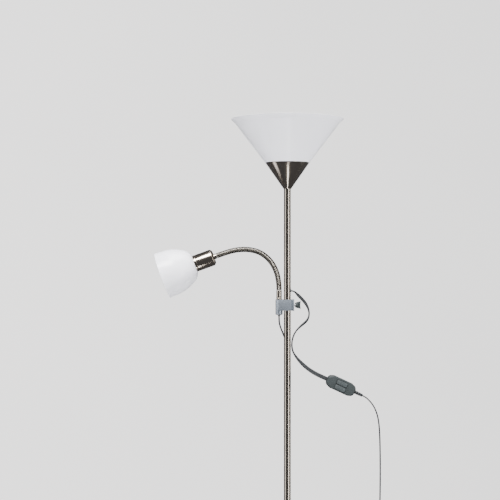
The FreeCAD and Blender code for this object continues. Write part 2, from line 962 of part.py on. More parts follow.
    gland_top = f"{CLAMP_FOOT} - boss_drop + 4"
    gland = turned(
        "lead_gland",
        [
            ("0.5*reading_lead_diameter + fit", "- gland_drop"),
            ("gland_radius", "- gland_drop"),
            ("gland_radius", "0"),
            ("gland_radius", "1"),
            ("nut_room_radius - fit", "1"),
            ("nut_room_radius - fit", "4"),
            ("0.5*reading_lead_diameter + fit", "4"),
        ],
    )
    gland.Placement.Base = FreeCAD.Vector(-size("neck_offset"), 0, amount(gland_top) - 4)


def build_knob(foot, height):
    """A flat two-winged head that flares outwards, on a round hub."""
    root = size("knob_root_height") / 2
    tip = size("knob_tip_height") / 2
    length = size("knob_length")
    half = size("knob_thickness") / 2
    dish = 0.9
    corners = [
        FreeCAD.Vector(0, -half, -root * 0.75),
        FreeCAD.Vector(length * 0.25, -half, -root),
        FreeCAD.Vector(length, -half, -tip),
    ]
    upper = [FreeCAD.Vector(p.x, p.y, -p.z) for p in reversed(corners)]
    edges = [
        Part.LineSegment(corners[0], corners[1]).toShape(),
        Part.LineSegment(corners[1], corners[2]).toShape(),
        Part.Arc(corners[2], FreeCAD.Vector(length - dish, -half, 0), upper[0]).toShape(),
        Part.LineSegment(upper[0], upper[1]).toShape(),
        Part.LineSegment(upper[1], upper[2]).toShape(),
        Part.LineSegment(upper[2], corners[0]).toShape(),
    ]
    wings = Part.Face(Part.Wire(edges)).extrude(FreeCAD.Vector(0, 2 * half, 0))
    along = FreeCAD.Vector(1, 0, 0)
    hub = Part.makeCylinder(
        size("knob_hub_radius"), size("knob_hub_length"), FreeCAD.Vector(), along
    )
    shank = Part.makeCylinder(
        size("screw_radius") + size("fit"),
        size("knob_hub_length") + size("fit"),
        FreeCAD.Vector(),
        along,
    )
    knob = wings.fuse(hub).cut(shank).removeSplitter()
    made("clamp_knob", knob, FreeCAD.Placement(FreeCAD.Vector(foot, 0, height), FreeCAD.Rotation()))


# ---------------------------------------------------------------- gooseneck
def neck_frames():
    """Start point and heading of each section, and of the head after the last one."""
    at = FreeCAD.Vector(-size("neck_offset"), 0, amount(NECK_START))
    heading = 90.0
    frames = [(at, heading)]
    for turn in NECK_TURNS:
        radius = size("section_length") / math.radians(turn)
        a0 = math.radians(heading)
        a1 = math.radians(heading + turn)
        at = at + FreeCAD.Vector(
            radius * (math.sin(a1) - math.sin(a0)),
            0,
            radius * (math.cos(a0) - math.cos(a1)),
        )
        heading += turn
        frames.append((at, heading))
    return frames


def upright_to(heading):
    """The turn about Y that lays a piece made along +Z onto that heading in the XZ plane."""
    return FreeCAD.Rotation(FreeCAD.Vector(0, 1, 0), 90 - heading)


def neck_point(turn, distance):
    """Point and direction at a distance along a section that starts at the origin along +Z."""
    if not turn:
        return FreeCAD.Vector(0, 0, distance), FreeCAD.Vector(0, 0, 1)
    radius = size("section_length") / math.radians(turn)
    angle = distance / radius
    point = FreeCAD.Vector(radius * (math.cos(angle) - 1), 0, radius * math.sin(angle))
    return point, FreeCAD.Vector(-math.sin(angle), 0, math.cos(angle))


def build_section(name, turn, start, heading):
    """A ribbed length of tube on an arc, with hollowed ends that let its neighbours tilt."""
    length = size("section_length")
    slope = size("neck_gap_slope")
    outer = size("neck_radius")
    hub = size("neck_hub")
    valley = outer - size("neck_groove")
    ribs = int(size("ribs_per_section"))
    pitch = length / ribs
    setback = slope * outer
    stations = [(slope * hub, hub), (setback, outer)]
    for rib in range(ribs):
        end = (rib + 1) * pitch
        stations.append((end - setback, outer))
        if rib < ribs - 1:
            stations.append((end, valley))
            stations.append((end + setback, outer))
    stations.append((length - slope * hub, hub))
    wires = []
    for distance, radius in stations:
        point, along = neck_point(turn, distance)
        circle = Part.Circle(point, along, radius)
        wires.append(Part.Wire(circle.toShape()))
    tube = Part.makeLoft(wires, True, True)
    first, start_way = neck_point(turn, 0)
    last, end_way = neck_point(turn, length)
    middle, _ = neck_point(turn, length / 2)
    path = Part.Wire(Part.Arc(first, middle, last).toShape())
    circle = Part.Wire(Part.Circle(first, start_way, size("neck_bore")).toShape())
    bore = path.makePipeShell([circle], True, False)
    made(name, tube.cut(bore), FreeCAD.Placement(start, upright_to(heading)))


def build_neck():
    frames = neck_frames()
    foot = turned(
        "neck_ferrule",
        [
            ("neck_bore", f"- spigot_length"),
            ("spigot_radius", f"- spigot_length"),
            ("spigot_radius", "0"),
            ("neck_radius", "0"),
            ("neck_radius", "neck_foot_length - 0.121*neck_radius"),
            ("neck_hub", "neck_foot_length - 0.121*neck_hub"),
            ("neck_bore", "neck_foot_length - 0.121*neck_hub"),
        ],
    )
    foot.Placement.Base = FreeCAD.Vector(-size("neck_offset"), 0, amount(CLAMP_TOP))
    nut = hexagon("neck_nut_solid", "neck_nut_across", "0", "neck_nut_height", "spigot_radius + fit")
    nut.Placement.Base = FreeCAD.Vector(
        -size("neck_offset"), 0, amount(f"{CLAMP_TOP} - spigot_seat - neck_nut_height - 0.1")
    )
    keep("neck_nut", nut)
    for number, turn in enumerate(NECK_TURNS):
        start, heading = frames[number]
        build_section(f"neck_section_{number + 1}", turn, start, heading)


# ---------------------------------------------------------------- reading head
def build_head():
    at, heading = neck_frames()[-1]
    lie = FreeCAD.Placement(at, upright_to(heading))
    back = "head_foot_length"
    mouth = "head_foot_length + housing_length"
    pieces = [
        turned(
            "head_ferrule",
            [
                ("neck_bore", "0.121*neck_hub"),
                ("neck_hub", "0.121*neck_hub"),
                ("neck_radius", "0.121*neck_radius"),
                ("neck_radius", back),
                ("spigot_radius", back),
                ("spigot_radius", f"{back} + small_holder_start"),
                ("neck_bore", f"{back} + small_holder_start"),
            ],
        ),
        turned(
            "reading_housing",
            [
                ("spigot_radius + fit", back),
                ("housing_radius - housing_chamfer", back),
                ("housing_radius", f"{back} + housing_chamfer"),
                ("housing_radius", mouth),
                ("housing_radius - housing_wall", mouth),
                (
                    "housing_radius - housing_wall",
                    f"{back} + housing_chamfer + 0.5*housing_wall",
                ),
                (
                    "housing_radius - housing_chamfer - 0.5*housing_wall",
                    f"{back} + housing_wall",
                ),
                ("spigot_radius + fit", f"{back} + housing_wall"),
            ],
        ),
        turned(
            "reading_holder",
            [
                ("neck_bore", f"{back} + small_holder_start"),
                ("small_holder_radius", f"{back} + small_holder_start"),
                ("small_holder_radius", mouth),
                ("small_holder_skirt", mouth),
                ("small_holder_skirt", f"{mouth} + small_skirt_reach"),
                ("small_socket_radius", f"{mouth} + small_skirt_reach"),
                (
                    "small_socket_radius",
                    f"{mouth} + small_skirt_reach - small_socket_depth",
                ),
                ("neck_bore", f"{mouth} + small_skirt_reach - small_socket_depth"),
            ],
        ),
        turned(
            "reading_shade",
            [
                ("small_holder_skirt + skirt_gap", mouth),
                ("reading_shade_back_radius", mouth),
                ("31", f"{mouth} + 5.4", "via"),
                ("reading_shade_mid_radius", f"{mouth} + reading_shade_mid_depth"),
                ("47.6", f"{mouth} + 33.5", "via"),
                ("reading_shade_side_radius", f"{mouth} + reading_shade_side_depth"),
                ("reading_shade_mouth_radius", f"{mouth} + reading_shade_length"),
                (
                    "reading_shade_mouth_radius - reading_shade_wall",
                    f"{mouth} + reading_shade_length",
                ),
                (
                    "reading_shade_side_radius - reading_shade_wall",
                    f"{mouth} + reading_shade_side_depth",
                ),
                ("47.6 - 0.9*reading_shade_wall", f"{mouth} + 33.5 + 0.4*reading_shade_wall", "via"),
                (
                    "reading_shade_mid_radius - 0.78*reading_shade_wall",
                    f"{mouth} + reading_shade_mid_depth + 0.62*reading_shade_wall",
                ),
                ("31 - 0.6*reading_shade_wall", f"{mouth} + 5.4 + 0.8*reading_shade_wall", "via"),
                ("reading_shade_back_radius", f"{mouth} + reading_shade_wall"),
                ("small_holder_skirt + skirt_gap", f"{mouth} + reading_shade_wall"),
            ],
        ),
        ring(
            "reading_ring",
            "small_ring_radius",
            "small_holder_skirt + fit",
            f"{mouth} + reading_shade_wall",
            f"{mouth} + reading_shade_wall + small_ring_height",
        ),
    ]
    build_bulb(
        "reading_bulb_cap",
        "reading_bulb_glass",
        f"{mouth} + small_skirt_reach - small_socket_depth + bulb_seat",
        "small_cap_radius",
        "small_cap_length",
        "small_bulb_length",
        "small_globe_radius",
        "small_bulb_neck_radius",
    )
    pieces += [NODES["reading_bulb_cap"], NODES["reading_bulb_glass"]]
    for piece in pieces:
        piece.Placement = lie


# ---------------------------------------------------------------- switch
def switch_place():
    return FreeCAD.Placement(
        FreeCAD.Vector(size("switch_x"), size("switch_y"), amount(f"{POLE_TOP} - switch_drop")),
        FreeCAD.Rotation(FreeCAD.Vector(0, 1, 0), size("switch_slope")),
    )


def switch_outline(inset, front):
    """Wire of the switch's long outline in the XZ plane, its corners cut, at that depth."""
    half = size("switch_length") / 2 - inset
    wide = size("switch_width") / 2 - inset
    end = size("switch_end_width") / 2 - inset
    shoulder = half - 12
    corner = 3.5
    right = [
        FreeCAD.Vector(shoulder, front, wide),
        FreeCAD.Vector(half - corner, front, end + 0.8),
        FreeCAD.Vector(half, front, end - corner),
    ]
    lower_right = [FreeCAD.Vector(p.x, front, -p.z) for p in reversed(right)]
    left = [FreeCAD.Vector(-p.x, front, p.z) for p in right + lower_right]
    points = right + lower_right + list(reversed(left))
    edges = [
        Part.LineSegment(a, b).toShape() for a, b in zip(points, points[1:] + points[:1])
    ]
    return Part.Wire(edges)


def slab(inset, front, back):
    face = Part.Face(switch_outline(inset, front))
    return face.extrude(FreeCAD.Vector(0, back - front, 0))


def brick(x, y, z, dx, dy, dz):
    """A box by its middle in X and Z, and its front in Y."""
    return Part.makeBox(dx, dy, dz, FreeCAD.Vector(x - dx / 2, y, z - dz / 2))


def cable_way(width, height, side):
    """The opening for a cable at one end of the switch."""
    reach = size("switch_length")
    return Part.makeBox(
        reach,
        height,
        width,
        FreeCAD.Vector(0 if side > 0 else -reach, -height / 2, -width / 2),
    )


def build_switch():
    place = switch_place()
    deep = size("switch_depth") / 2
    wall = size("switch_wall")
    split = -deep + size("switch_split")
    gap = size("rocker_gap")
    length = size("rocker_length")
    width = size("rocker_width")
    offset = size("rocker_spacing") / 2
    pin = size("rocker_pin_radius")
    fit = size("fit")

    front = Part.makeLoft(
        [switch_outline(2.2, -deep), switch_outline(0, -deep + 3)], True, True
    ).fuse(slab(0, -deep + 3, split))
    front = front.cut(slab(wall, -deep + wall, split + 1))
    back = slab(0, split, deep - 3).fuse(
        Part.makeLoft([switch_outline(0, deep - 3), switch_outline(2.2, deep)], True, True)
    )
    back = back.cut(slab(wall, split - 1, deep - wall))
    ribbon_way = cable_way(
        size("ribbon_width") + 2 * fit, size("ribbon_thickness") + 2 * fit, -1
    )
    mains = size("mains_lead_diameter") + 2 * fit
    mains_way = cable_way(mains, mains, 1)
    front = front.cut(ribbon_way).cut(mains_way)
    back = back.cut(ribbon_way).cut(mains_way)

    pivot = -deep + 3.2
    frame = Part.makeBox(
        length + 2 * gap + 2 * wall,
        5,
        2 * offset + width + 2 * gap + 2 * wall,
        FreeCAD.Vector(
            -length / 2 - gap - wall, -deep + 1, -offset - width / 2 - gap - wall
        ),
    )
    front = front.fuse(frame)
    for side in (-1, 1):
        front = front.cut(
            brick(0, -deep - 1, side * offset, length + 2 * gap, 12, width + 2 * gap)
        )
    across = FreeCAD.Vector(0, 0, 1)
    tall = 2 * offset + width + 2 * gap + 2
    axle_hole = Part.makeCylinder(
        pin + 3 * fit, tall, FreeCAD.Vector(0, pivot, -tall / 2), across
    )
    front = front.cut(axle_hole)
    screw = size("switch_screw_radius")
    reach = size("switch_screw_offset")
    posts = []
    for side in (-1, 1):
        spot = FreeCAD.Vector(side * reach, split, side * 6.6)
        inward = FreeCAD.Vector(0, 1, 0)
        posts.append(
            Part.makeCylinder(screw + 1.6, deep - wall - split + 0.5, spot, inward)
        )
        post = Part.makeCylinder(
            screw + 1.6,
            split + deep - wall + 0.5,
            FreeCAD.Vector(side * reach, -deep + wall - 0.5, side * 6.6),
            inward,
        )
        front = front.fuse(post)
    for post in posts:
        back = back.fuse(post)
    screws = []
    for side in (-1, 1):
        inward = FreeCAD.Vector(0, -1, 0)
        head = FreeCAD.Vector(side * reach, deep, side * 6.6)
        back = back.cut(Part.makeCylinder(screw * 1.9 + fit, 2, head, inward))
        back = back.cut(Part.makeCylinder(screw + fit, 3 * deep, head, inward))
        front = front.cut(
            Part.makeCylinder(screw + fit, deep + 5, head, inward)
        )
        shaft = Part.makeCylinder(screw, deep + 3, head, inward)
        cap = Part.makeCylinder(screw * 1.9, 1.9, head, inward)
        groove = brick(head.x, deep - 0.7, head.z, screw * 4, 1, 0.8)
        screws.append(shaft.fuse(cap).cut(groove).removeSplitter())
    made("switch_front", front.removeSplitter(), place)
    made("switch_back", back.removeSplitter(), place)
    made("switch_screws", Part.makeCompound(screws), place)

    rise = size("rocker_rise")
    reach = size("rocker_pin_reach") + gap
    for name, side in (("switch_rocker_upper", 1), ("switch_rocker_lower", -1)):
        base = -deep + size("rocker_depth")
        middle = side * offset
        low = middle - width / 2
        corners = [
            FreeCAD.Vector(length / 2, -deep - rise, low),
            FreeCAD.Vector(length / 2, -deep + 1.2, low),
            FreeCAD.Vector(length / 2 - 5, base, low),
            FreeCAD.Vector(-length / 2 + 5, base, low),
            FreeCAD.Vector(-length / 2, -deep + 1.2, low),
            FreeCAD.Vector(-length / 2, -deep - rise, low),
        ]
        dish = Part.Arc(corners[-1], FreeCAD.Vector(0, -deep - 0.3, low), corners[0])
        edges = [dish.toShape()] + [
            Part.LineSegment(a, b).toShape() for a, b in zip(corners, corners[1:])
        ]
        button = Part.Face(Part.Wire(edges)).extrude(FreeCAD.Vector(0, 0, width))
        axle = Part.makeCylinder(
            pin,
            width + 2 * reach,
            FreeCAD.Vector(0, pivot, middle - width / 2 - reach),
            across,
        )
        rocker = button.fuse(axle).removeSplitter()
        rocker.rotate(FreeCAD.Vector(0, pivot, middle), across, size("rocker_tilt"))
        made(name, rocker, place)


# ---------------------------------------------------------------- cords
def rounded_path(points):
    """Straight runs joined by arcs as large as their two runs allow. Also the radii."""
    points = [FreeCAD.Vector(*p) for p in points]
    edges = []
    radii = []
    start = points[0]
    for before, corner, after in zip(points, points[1:], points[2:]):
        back = before - corner
        ahead = after - corner
        short = min(back.Length, ahead.Length)
        reach = 0.45 * short
        back.normalize()
        ahead.normalize()
        half_turn = (math.pi - back.getAngle(ahead)) / 2
        radius = reach / math.tan(half_turn)
        radii.append(radius)
        enter = corner + back * reach
        leave = corner + ahead * reach
        bisector = back + ahead
        bisector.normalize()
        sagitta = radius / math.cos(half_turn) - radius
        if start.distanceToPoint(enter) > 1e-6:
            edges.append(Part.LineSegment(start, enter).toShape())
        edges.append(Part.Arc(enter, corner + bisector * sagitta, leave).toShape())
        start = leave
    edges.append(Part.LineSegment(start, points[-1]).toShape())
    return Part.Wire(edges), radii


def build_tube(name, points, radius):
    """A cord as a round tube along its route."""
    path, radii = rounded_path(points)
    way = FreeCAD.Vector(*points[1]) - FreeCAD.Vector(*points[0])
    section = Part.Wire(Part.Circle(FreeCAD.Vector(*points[0]), way, radius).toShape())
    tube = path.makePipeShell([section], True, False)
    report_cord(name, tube, path, radii, math.pi * radius**2)
    made(name, tube)


def report_cord(name, tube, path, radii, section_area):
    share = tube.Volume / (section_area * path.Length)
    smallest = min(radii) if radii else 0
    print(f"{name}: length {path.Length:.1f}, least radius {smallest:.1f}, volume share {share:.4f}")


def flat_section(at, way, turn):
    """The flat cable's section: its width along Y, turned about the cable's own line."""
    side = FreeCAD.Vector(0, 1, 0) - way * way.y
    side.normalize()
    side = FreeCAD.Rotation(way, turn).multVec(side)
    out = side.cross(way) * (size("ribbon_thickness") / 2)
    half = (size("ribbon_width") - size("ribbon_thickness")) / 2
    edge = side * half
    bulge = side * (size("ribbon_width") / 2)
    return Part.Wire(
        [
            Part.LineSegment(at + out - edge, at + out + edge).toShape(),
            Part.Arc(at + out + edge, at + bulge, at - out + edge).toShape(),
            Part.LineSegment(at - out + edge, at - out - edge).toShape(),
            Part.Arc(at - out - edge, at - bulge, at + out - edge).toShape(),
        ]
    )


def twist_at(share):
    """Turn of the flat cable at that share of its length, eased between the listed ones."""
    for (s0, t0), (s1, t1) in zip(RIBBON_TWIST, RIBBON_TWIST[1:]):
        if share <= s1:
            step = (share - s0) / (s1 - s0)
            return t0 + (t1 - t0) * step * step * (3 - 2 * step)
    return RIBBON_TWIST[-1][1]


def build_ribbon(points):
    """The flat cable, lofted through sections that turn with it."""
    path, radii = rounded_path(points)
    finer = 12
    places = path.discretize(Number=RIBBON_SECTIONS * finer + 1)
    last = len(places) - 1
    sections = []
    for number in range(0, last + 1, finer):
        way = places[min(number + 1, last)] - places[max(number - 1, 0)]
        way.normalize()
        sections.append(flat_section(places[number], way, twist_at(number / last)))
    solid = Part.makeLoft(sections, True, True)
    thick = size("ribbon_thickness")
    area = math.pi * thick**2 / 4 + (size("ribbon_width") - thick) * thick
    report_cord("ribbon_cable", solid, path, radii, area)
    made("ribbon_cable", solid)


def lifted(*points):
    """The route as drawn, its upper part raised with the pole's top."""
    rise = amount(POLE_TOP) - ROUTE_TOP
    level = amount(f"{POLE_TOP} - switch_drop")
    return tuple((x, y, z + rise * min(z / level, 1)) for x, y, z in points)


def build_sleeve(name, place, foot, length, root, tip):
    """A tapered rubber sleeve round the mains lead, along the place's X axis."""
    bore = size("mains_lead_diameter") / 2 + size("fit")
    way = FreeCAD.Vector(length, 0, 0)
    sleeve = Part.makeCone(root, tip, abs(length), FreeCAD.Vector(foot, 0, 0), way)
    hole = Part.makeCylinder(bore, abs(length) + 2, FreeCAD.Vector(foot, 0, 0) - way / abs(length), way)
    made(name, sleeve.cut(hole), place)


def build_cords():
    fit = size("fit")
    lead = size("reading_lead_diameter") / 2
    gland = (
        -size("neck_offset"),
        0,
        amount(f"{CLAMP_FOOT} - boss_drop - gland_drop + 2"),
    )
    hole_y = size("pole_radius") - size("pole_wall") - 1
    hole = (0, hole_y, amount(LEAD_HOLE))
    before_hole = (0, size("pole_radius") + 6.5, amount(LEAD_HOLE))
    join = lifted(LEAD_JOIN)
    build_tube("reading_lead_upper", (gland,) + lifted(*LEAD_ROUTE_TOP) + join, lead)
    build_tube(
        "reading_lead_lower", join + lifted(*LEAD_ROUTE_FOOT) + (before_hole, hole), lead
    )

    turn = math.radians(size("ribbon_hole_turn"))
    inside = size("inner_lead_radius") + fit
    start = (
        inside * math.cos(turn),
        inside * math.sin(turn),
        amount(RIBBON_HOLE),
    )
    place = switch_place()
    half = size("switch_length") / 2
    before = place.multVec(FreeCAD.Vector(-half - 6, 0, 0))
    socket = place.multVec(FreeCAD.Vector(-half + 5, 0, 0))
    build_ribbon((start,) + lifted(*RIBBON_ROUTE) + (tuple(before), tuple(socket)))

    outlet = place.multVec(FreeCAD.Vector(half - 5, 0, 0))
    sleeve = size("sleeve_length")
    beyond = place.multVec(FreeCAD.Vector(half + sleeve + 4, 0, 0))
    plug = plug_place()
    tail = plug.multVec(FreeCAD.Vector(-size("plug_body_length") - 2 * sleeve, 0, 0))
    inlet = plug.multVec(FreeCAD.Vector(-size("plug_body_length") + 4, 0, 0))
    build_tube(
        "mains_lead",
        (tuple(outlet), tuple(beyond)) + lifted(*MAINS_ROUTE) + (tuple(tail), tuple(inlet)),
        size("mains_lead_diameter") / 2,
    )
    root = size("sleeve_root_radius")
    tip = size("sleeve_tip_radius")
    build_sleeve("switch_sleeve", place, half, sleeve, root, tip)
    build_sleeve("plug_sleeve", plug, -size("plug_body_length"), -sleeve, root, tip)

    radius = size("inner_lead_radius")
    ribbon = amount(RIBBON_HOLE)
    top = amount(f"{HOLDER_FOOT} + holder_neck_height + holder_cone_height")
    made(
        "inner_lead_upper",
        Part.makeCylinder(radius, top - ribbon - 1, FreeCAD.Vector(0, 0, ribbon + 1)),
    )
    low = amount(LEAD_HOLE)
    made(
        "inner_lead_lower",
        Part.makeCylinder(radius, ribbon - 1 - low, FreeCAD.Vector(0, 0, low)),
    )


# ---------------------------------------------------------------- plug
def plug_place():
    """Centre of the plug's front face; the plug lies flat on the floor."""
    return FreeCAD.Placement(
        FreeCAD.Vector(size("plug_x"), size("plug_y"), size("plug_body_height") / 2 + 0.1),
        FreeCAD.Rotation(FreeCAD.Vector(0, 0, 1), size("plug_turn")),
    )


def rounded_rectangle(x, width, height, radius):
    """Wire in a plane across X."""
    w = width / 2
    h = height / 2
    q = radius * (1 - math.sqrt(0.5))
    v = FreeCAD.Vector
    points = [
        (v(x, -w + radius, -h), v(x, w - radius, -h), v(x, w - q, -h + q)),
        (v(x, w, -h + radius), v(x, w, h - radius), v(x, w - q, h - q)),
        (v(x, w - radius, h), v(x, -w + radius, h), v(x, -w + q, h - q)),
        (v(x, -w, h - radius), v(x, -w, -h + radius), v(x, -w + q, -h + q)),
    ]
    edges = []
    for number, (a, b, corner) in enumerate(points):
        edges.append(Part.LineSegment(a, b).toShape())
        edges.append(Part.Arc(b, corner, points[(number + 1) % 4][0]).toShape())
    return Part.Wire(edges)


def build_plug():
    length = size("plug_body_length")
    wide = size("plug_body_width")
    high = size("plug_body_height")
    tail = size("plug_tail_width")
    body = Part.makeLoft(
        [
            rounded_rectangle(0, wide, high, 4),
            rounded_rectangle(-0.35 * length, wide * 0.94, high, 4),
            rounded_rectangle(-0.75 * length, wide * 0.52, high * 0.86, 4),
            rounded_rectangle(-length, tail, tail, 3.6),
        ],
        True,
        True,
    )
    bore = size("mains_lead_diameter") / 2 + size("fit")
    body = body.cut(
        Part.makeCylinder(bore, 4 + size("fit"), FreeCAD.Vector(-length, 0, 0), FreeCAD.Vector(1, 0, 0))
    )
    pins = []
    radius = size("plug_pin_radius")
    for side in (-1, 1):
        root = FreeCAD.Vector(-8, side * size("plug_pin_spacing") / 2, 0)
        pin = Part.makeCylinder(radius, 8 + size("plug_pin_length"), root, FreeCAD.Vector(1, 0, 0))
        body = body.cut(pin)
        tip = [e for e in pin.Edges if e.BoundBox.XMin > size("plug_pin_length") - 0.01]
        pins.append(pin.makeFillet(radius * 0.6, tip))
    made("plug_body", body, plug_place())
    made("plug_pins", Part.makeCompound(pins), plug_place())


build_base()
build_pole()
build_uplight()
build_clamp()
build_neck()
build_head()
build_switch()
build_plug()
build_cords()
doc.recompute()

faulty = [o.Label for o in doc.Objects if "Invalid" in o.State or "Error" in o.State]
if faulty:
    raise RuntimeError(f"objects that did not build: {faulty}")
for name, obj in NODES.items():
    if obj.Shape.isNull() or not obj.Shape.isValid() or not obj.Shape.Solids:
        raise RuntimeError(f"{name} has no sound shape")

os.makedirs("parts", exist_ok=True)
for name, obj in NODES.items():
    obj.Shape.exportStep(f"parts/{name}.step")
print(f"{len(NODES)} pieces written")
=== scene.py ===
# %% [markdown]
# # A floor lamp with an uplight bowl and a reading light
#
# The lamp stands on a round weighted foot. A slim nickel pole carries a white bowl that
# throws light at the ceiling, and a clamp on the pole holds a bendy gooseneck with a small
# white reading shade. A flat cable leaves the pole near the clamp, makes a loop, and runs
# to a hand switch, and a thin lead goes on from there to the plug.
#
# This lesson dresses a CAD frame. The frame gives each part's true size and the way it
# moves. Blender adds rounded edges, ribs, threads and finishes.

import json
import math

import bmesh
import bpy
from mathutils import Matrix, Vector
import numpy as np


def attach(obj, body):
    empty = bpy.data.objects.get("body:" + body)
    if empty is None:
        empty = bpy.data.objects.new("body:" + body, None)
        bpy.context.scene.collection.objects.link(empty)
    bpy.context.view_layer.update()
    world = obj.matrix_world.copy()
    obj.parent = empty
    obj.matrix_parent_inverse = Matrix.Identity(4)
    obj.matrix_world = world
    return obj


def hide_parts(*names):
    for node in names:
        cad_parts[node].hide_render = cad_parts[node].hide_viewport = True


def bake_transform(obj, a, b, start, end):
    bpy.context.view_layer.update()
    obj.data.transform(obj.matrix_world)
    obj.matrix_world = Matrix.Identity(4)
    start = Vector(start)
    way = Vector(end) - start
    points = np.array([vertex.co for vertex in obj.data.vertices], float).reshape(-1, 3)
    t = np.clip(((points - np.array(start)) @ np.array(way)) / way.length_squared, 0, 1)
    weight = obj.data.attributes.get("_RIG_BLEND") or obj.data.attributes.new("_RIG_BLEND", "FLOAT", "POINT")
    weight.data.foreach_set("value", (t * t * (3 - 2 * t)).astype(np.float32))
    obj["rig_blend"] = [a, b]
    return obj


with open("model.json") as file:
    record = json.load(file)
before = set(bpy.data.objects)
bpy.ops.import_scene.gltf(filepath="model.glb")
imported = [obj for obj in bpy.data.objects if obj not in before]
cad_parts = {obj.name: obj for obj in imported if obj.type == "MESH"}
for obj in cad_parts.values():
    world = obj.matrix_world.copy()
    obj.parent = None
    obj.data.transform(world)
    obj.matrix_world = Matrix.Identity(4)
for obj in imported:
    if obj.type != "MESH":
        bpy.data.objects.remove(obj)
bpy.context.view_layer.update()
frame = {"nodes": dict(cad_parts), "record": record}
MM = 0.001

# %% [markdown]
# ## Camera
#
# The photograph was taken level with the lamp's upper half, from about two and a half
# metres away. With a long lens the rim of the bowl shows as a thin line and the pole stays
# straight. The camera is made first, because it decides what length of cord is in view.

# %% Camera
def linked(name, data):
    """A new object with that data, in the scene."""
    thing = bpy.data.objects.new(name, data)
    bpy.context.scene.collection.objects.link(thing)
    return thing


focal, sensor, distance = 82, 36, 2.6
lens = bpy.data.cameras.new("studio_camera")
lens.lens = focal
lens.sensor_width = sensor
camera = linked("studio_camera", lens)
camera.location = (-0.0853, -distance, 1.5012)
camera.rotation_euler = (math.radians(90), 0, 0)
bpy.context.scene.camera = camera
print("picture is", round(sensor / focal * distance, 3), "m wide at the pole")

# %% [markdown]
# ## Sockets that can be added and multiplied
#
# Both shader trees and geometry trees are nets of small nodes. Written by hand they are
# hard to read, so one small class wraps a socket. `streaks * 0.3 + 0.2` then adds two Math
# nodes and gives back the last one's socket. Every other node comes from one method.

# %% Socket arithmetic
class Wire:
    """One output socket of a node tree."""

    def __init__(self, tree, socket=None):
        self.tree = tree
        self.socket = socket

    def node(self, kind, settings=None, inputs=None, out=0):
        """A node of that kind: its settings first, then values or wires for its sockets."""
        made = self.tree.nodes.new(kind)
        for name, value in (settings or {}).items():
            setattr(made, name, value)
        for key, value in (inputs or {}).items():
            if isinstance(value, Wire):
                self.tree.links.new(value.socket, made.inputs[key])
            else:
                made.inputs[key].default_value = value
        return Wire(self.tree, made.outputs[out] if len(made.outputs) else None)

    def beside(self, name):
        """Another output of the same node."""
        return Wire(self.tree, self.socket.node.outputs[name])

    def maths(self, operation, *values):
        return self.node("ShaderNodeMath", {"operation": operation}, dict(enumerate(values)))

    def __add__(self, other):
        return self.maths("ADD", self, other)

    __radd__ = __add__

    def __mul__(self, other):
        return self.maths("MULTIPLY", self, other)

    __rmul__ = __mul__

    def __sub__(self, other):
        return self.maths("SUBTRACT", self, other)

    def __rsub__(self, other):
        return self.maths("SUBTRACT", other, self)

    def __truediv__(self, other):
        return self.maths("DIVIDE", self, other)

    def __pow__(self, other):
        return self.maths("POWER", self, other)

    def __abs__(self):
        return self.maths("ABSOLUTE", self)

    def __gt__(self, other):
        return self.maths("GREATER_THAN", self, other)


# %% [markdown]
# ## Three patterns that most finishes share
#
# Brushed metal is noise that is stretched a long way in the direction of the brush. Spun
# metal, such as the foot's cover, is brushed in rings round the axis. Moulded plastic has a
# fine even grain. All three read the piece's own coordinates, so they stay put when a part
# moves.

# %% Patterns
def place_of(start):
    """The point on the object, and its three numbers."""
    spot = start.node("ShaderNodeTexCoord", out=3)
    parts = start.node("ShaderNodeSeparateXYZ", inputs={0: spot})
    return spot, parts, parts.beside("Y"), parts.beside("Z")


def noise(start, spot, scale, detail=3.0):
    return start.node(
        "ShaderNodeTexNoise",
        inputs={"Vector": spot, "Scale": scale, "Detail": detail, "Roughness": 0.55},
    )


def stretched(start, spot, across, along, turn=(0, 0, 0)):
    """Coordinates that run fast across the brush and slowly along it, the brush being Z."""
    inputs = {"Vector": spot, "Rotation": turn, "Scale": (across, across, along)}
    return start.node("ShaderNodeMapping", inputs=inputs)


def rings(start, fine):
    """Coordinates for streaks that run round the Z axis."""
    _, x, y, z = place_of(start)
    reach = (x * x + y * y) ** 0.5
    return start.node("ShaderNodeCombineXYZ", inputs={"X": reach * fine, "Y": z * fine})


def blend_colours(start, factor, first, second):
    inputs = {0: factor, 6: (*first, 1), 7: (*second, 1)}
    return start.node("ShaderNodeMix", {"data_type": "RGBA"}, inputs, out=2)


# %% [markdown]
# ## One way to write a finish
#
# A finish starts as an empty tree with one Principled shader. Numbers that are the same all
# over go straight on the shader. What changes over the surface is worked out by a short
# function and linked to colour, roughness or bump.

# %% Finish maker
def finish(name, fixed, recipe):
    material = bpy.data.materials.new(name)
    material.use_nodes = True
    tree = material.node_tree
    tree.nodes.clear()
    start = Wire(tree)
    shader = start.node("ShaderNodeBsdfPrincipled", inputs=fixed)
    start.node("ShaderNodeOutputMaterial", inputs={"Surface": shader})
    for socket, value in recipe(start).items():
        tree.links.new(value.socket, shader.socket.node.inputs[socket])
    return material


def bump(start, height, strength, distance):
    return start.node(
        "ShaderNodeBump", inputs={"Height": height, "Strength": strength, "Distance": distance}
    )


# %% [markdown]
# ### Satin nickel
#
# The pole and the cup under the bowl are steel with a warm satin nickel plating. The brush
# marks run along the tube, finer than a tenth of a millimetre, with a few broad soft bands
# between them. The tone changes from mark to mark. Roughness and bump change only a little,
# because more of them would turn the clean reflections of the photograph into speckles.

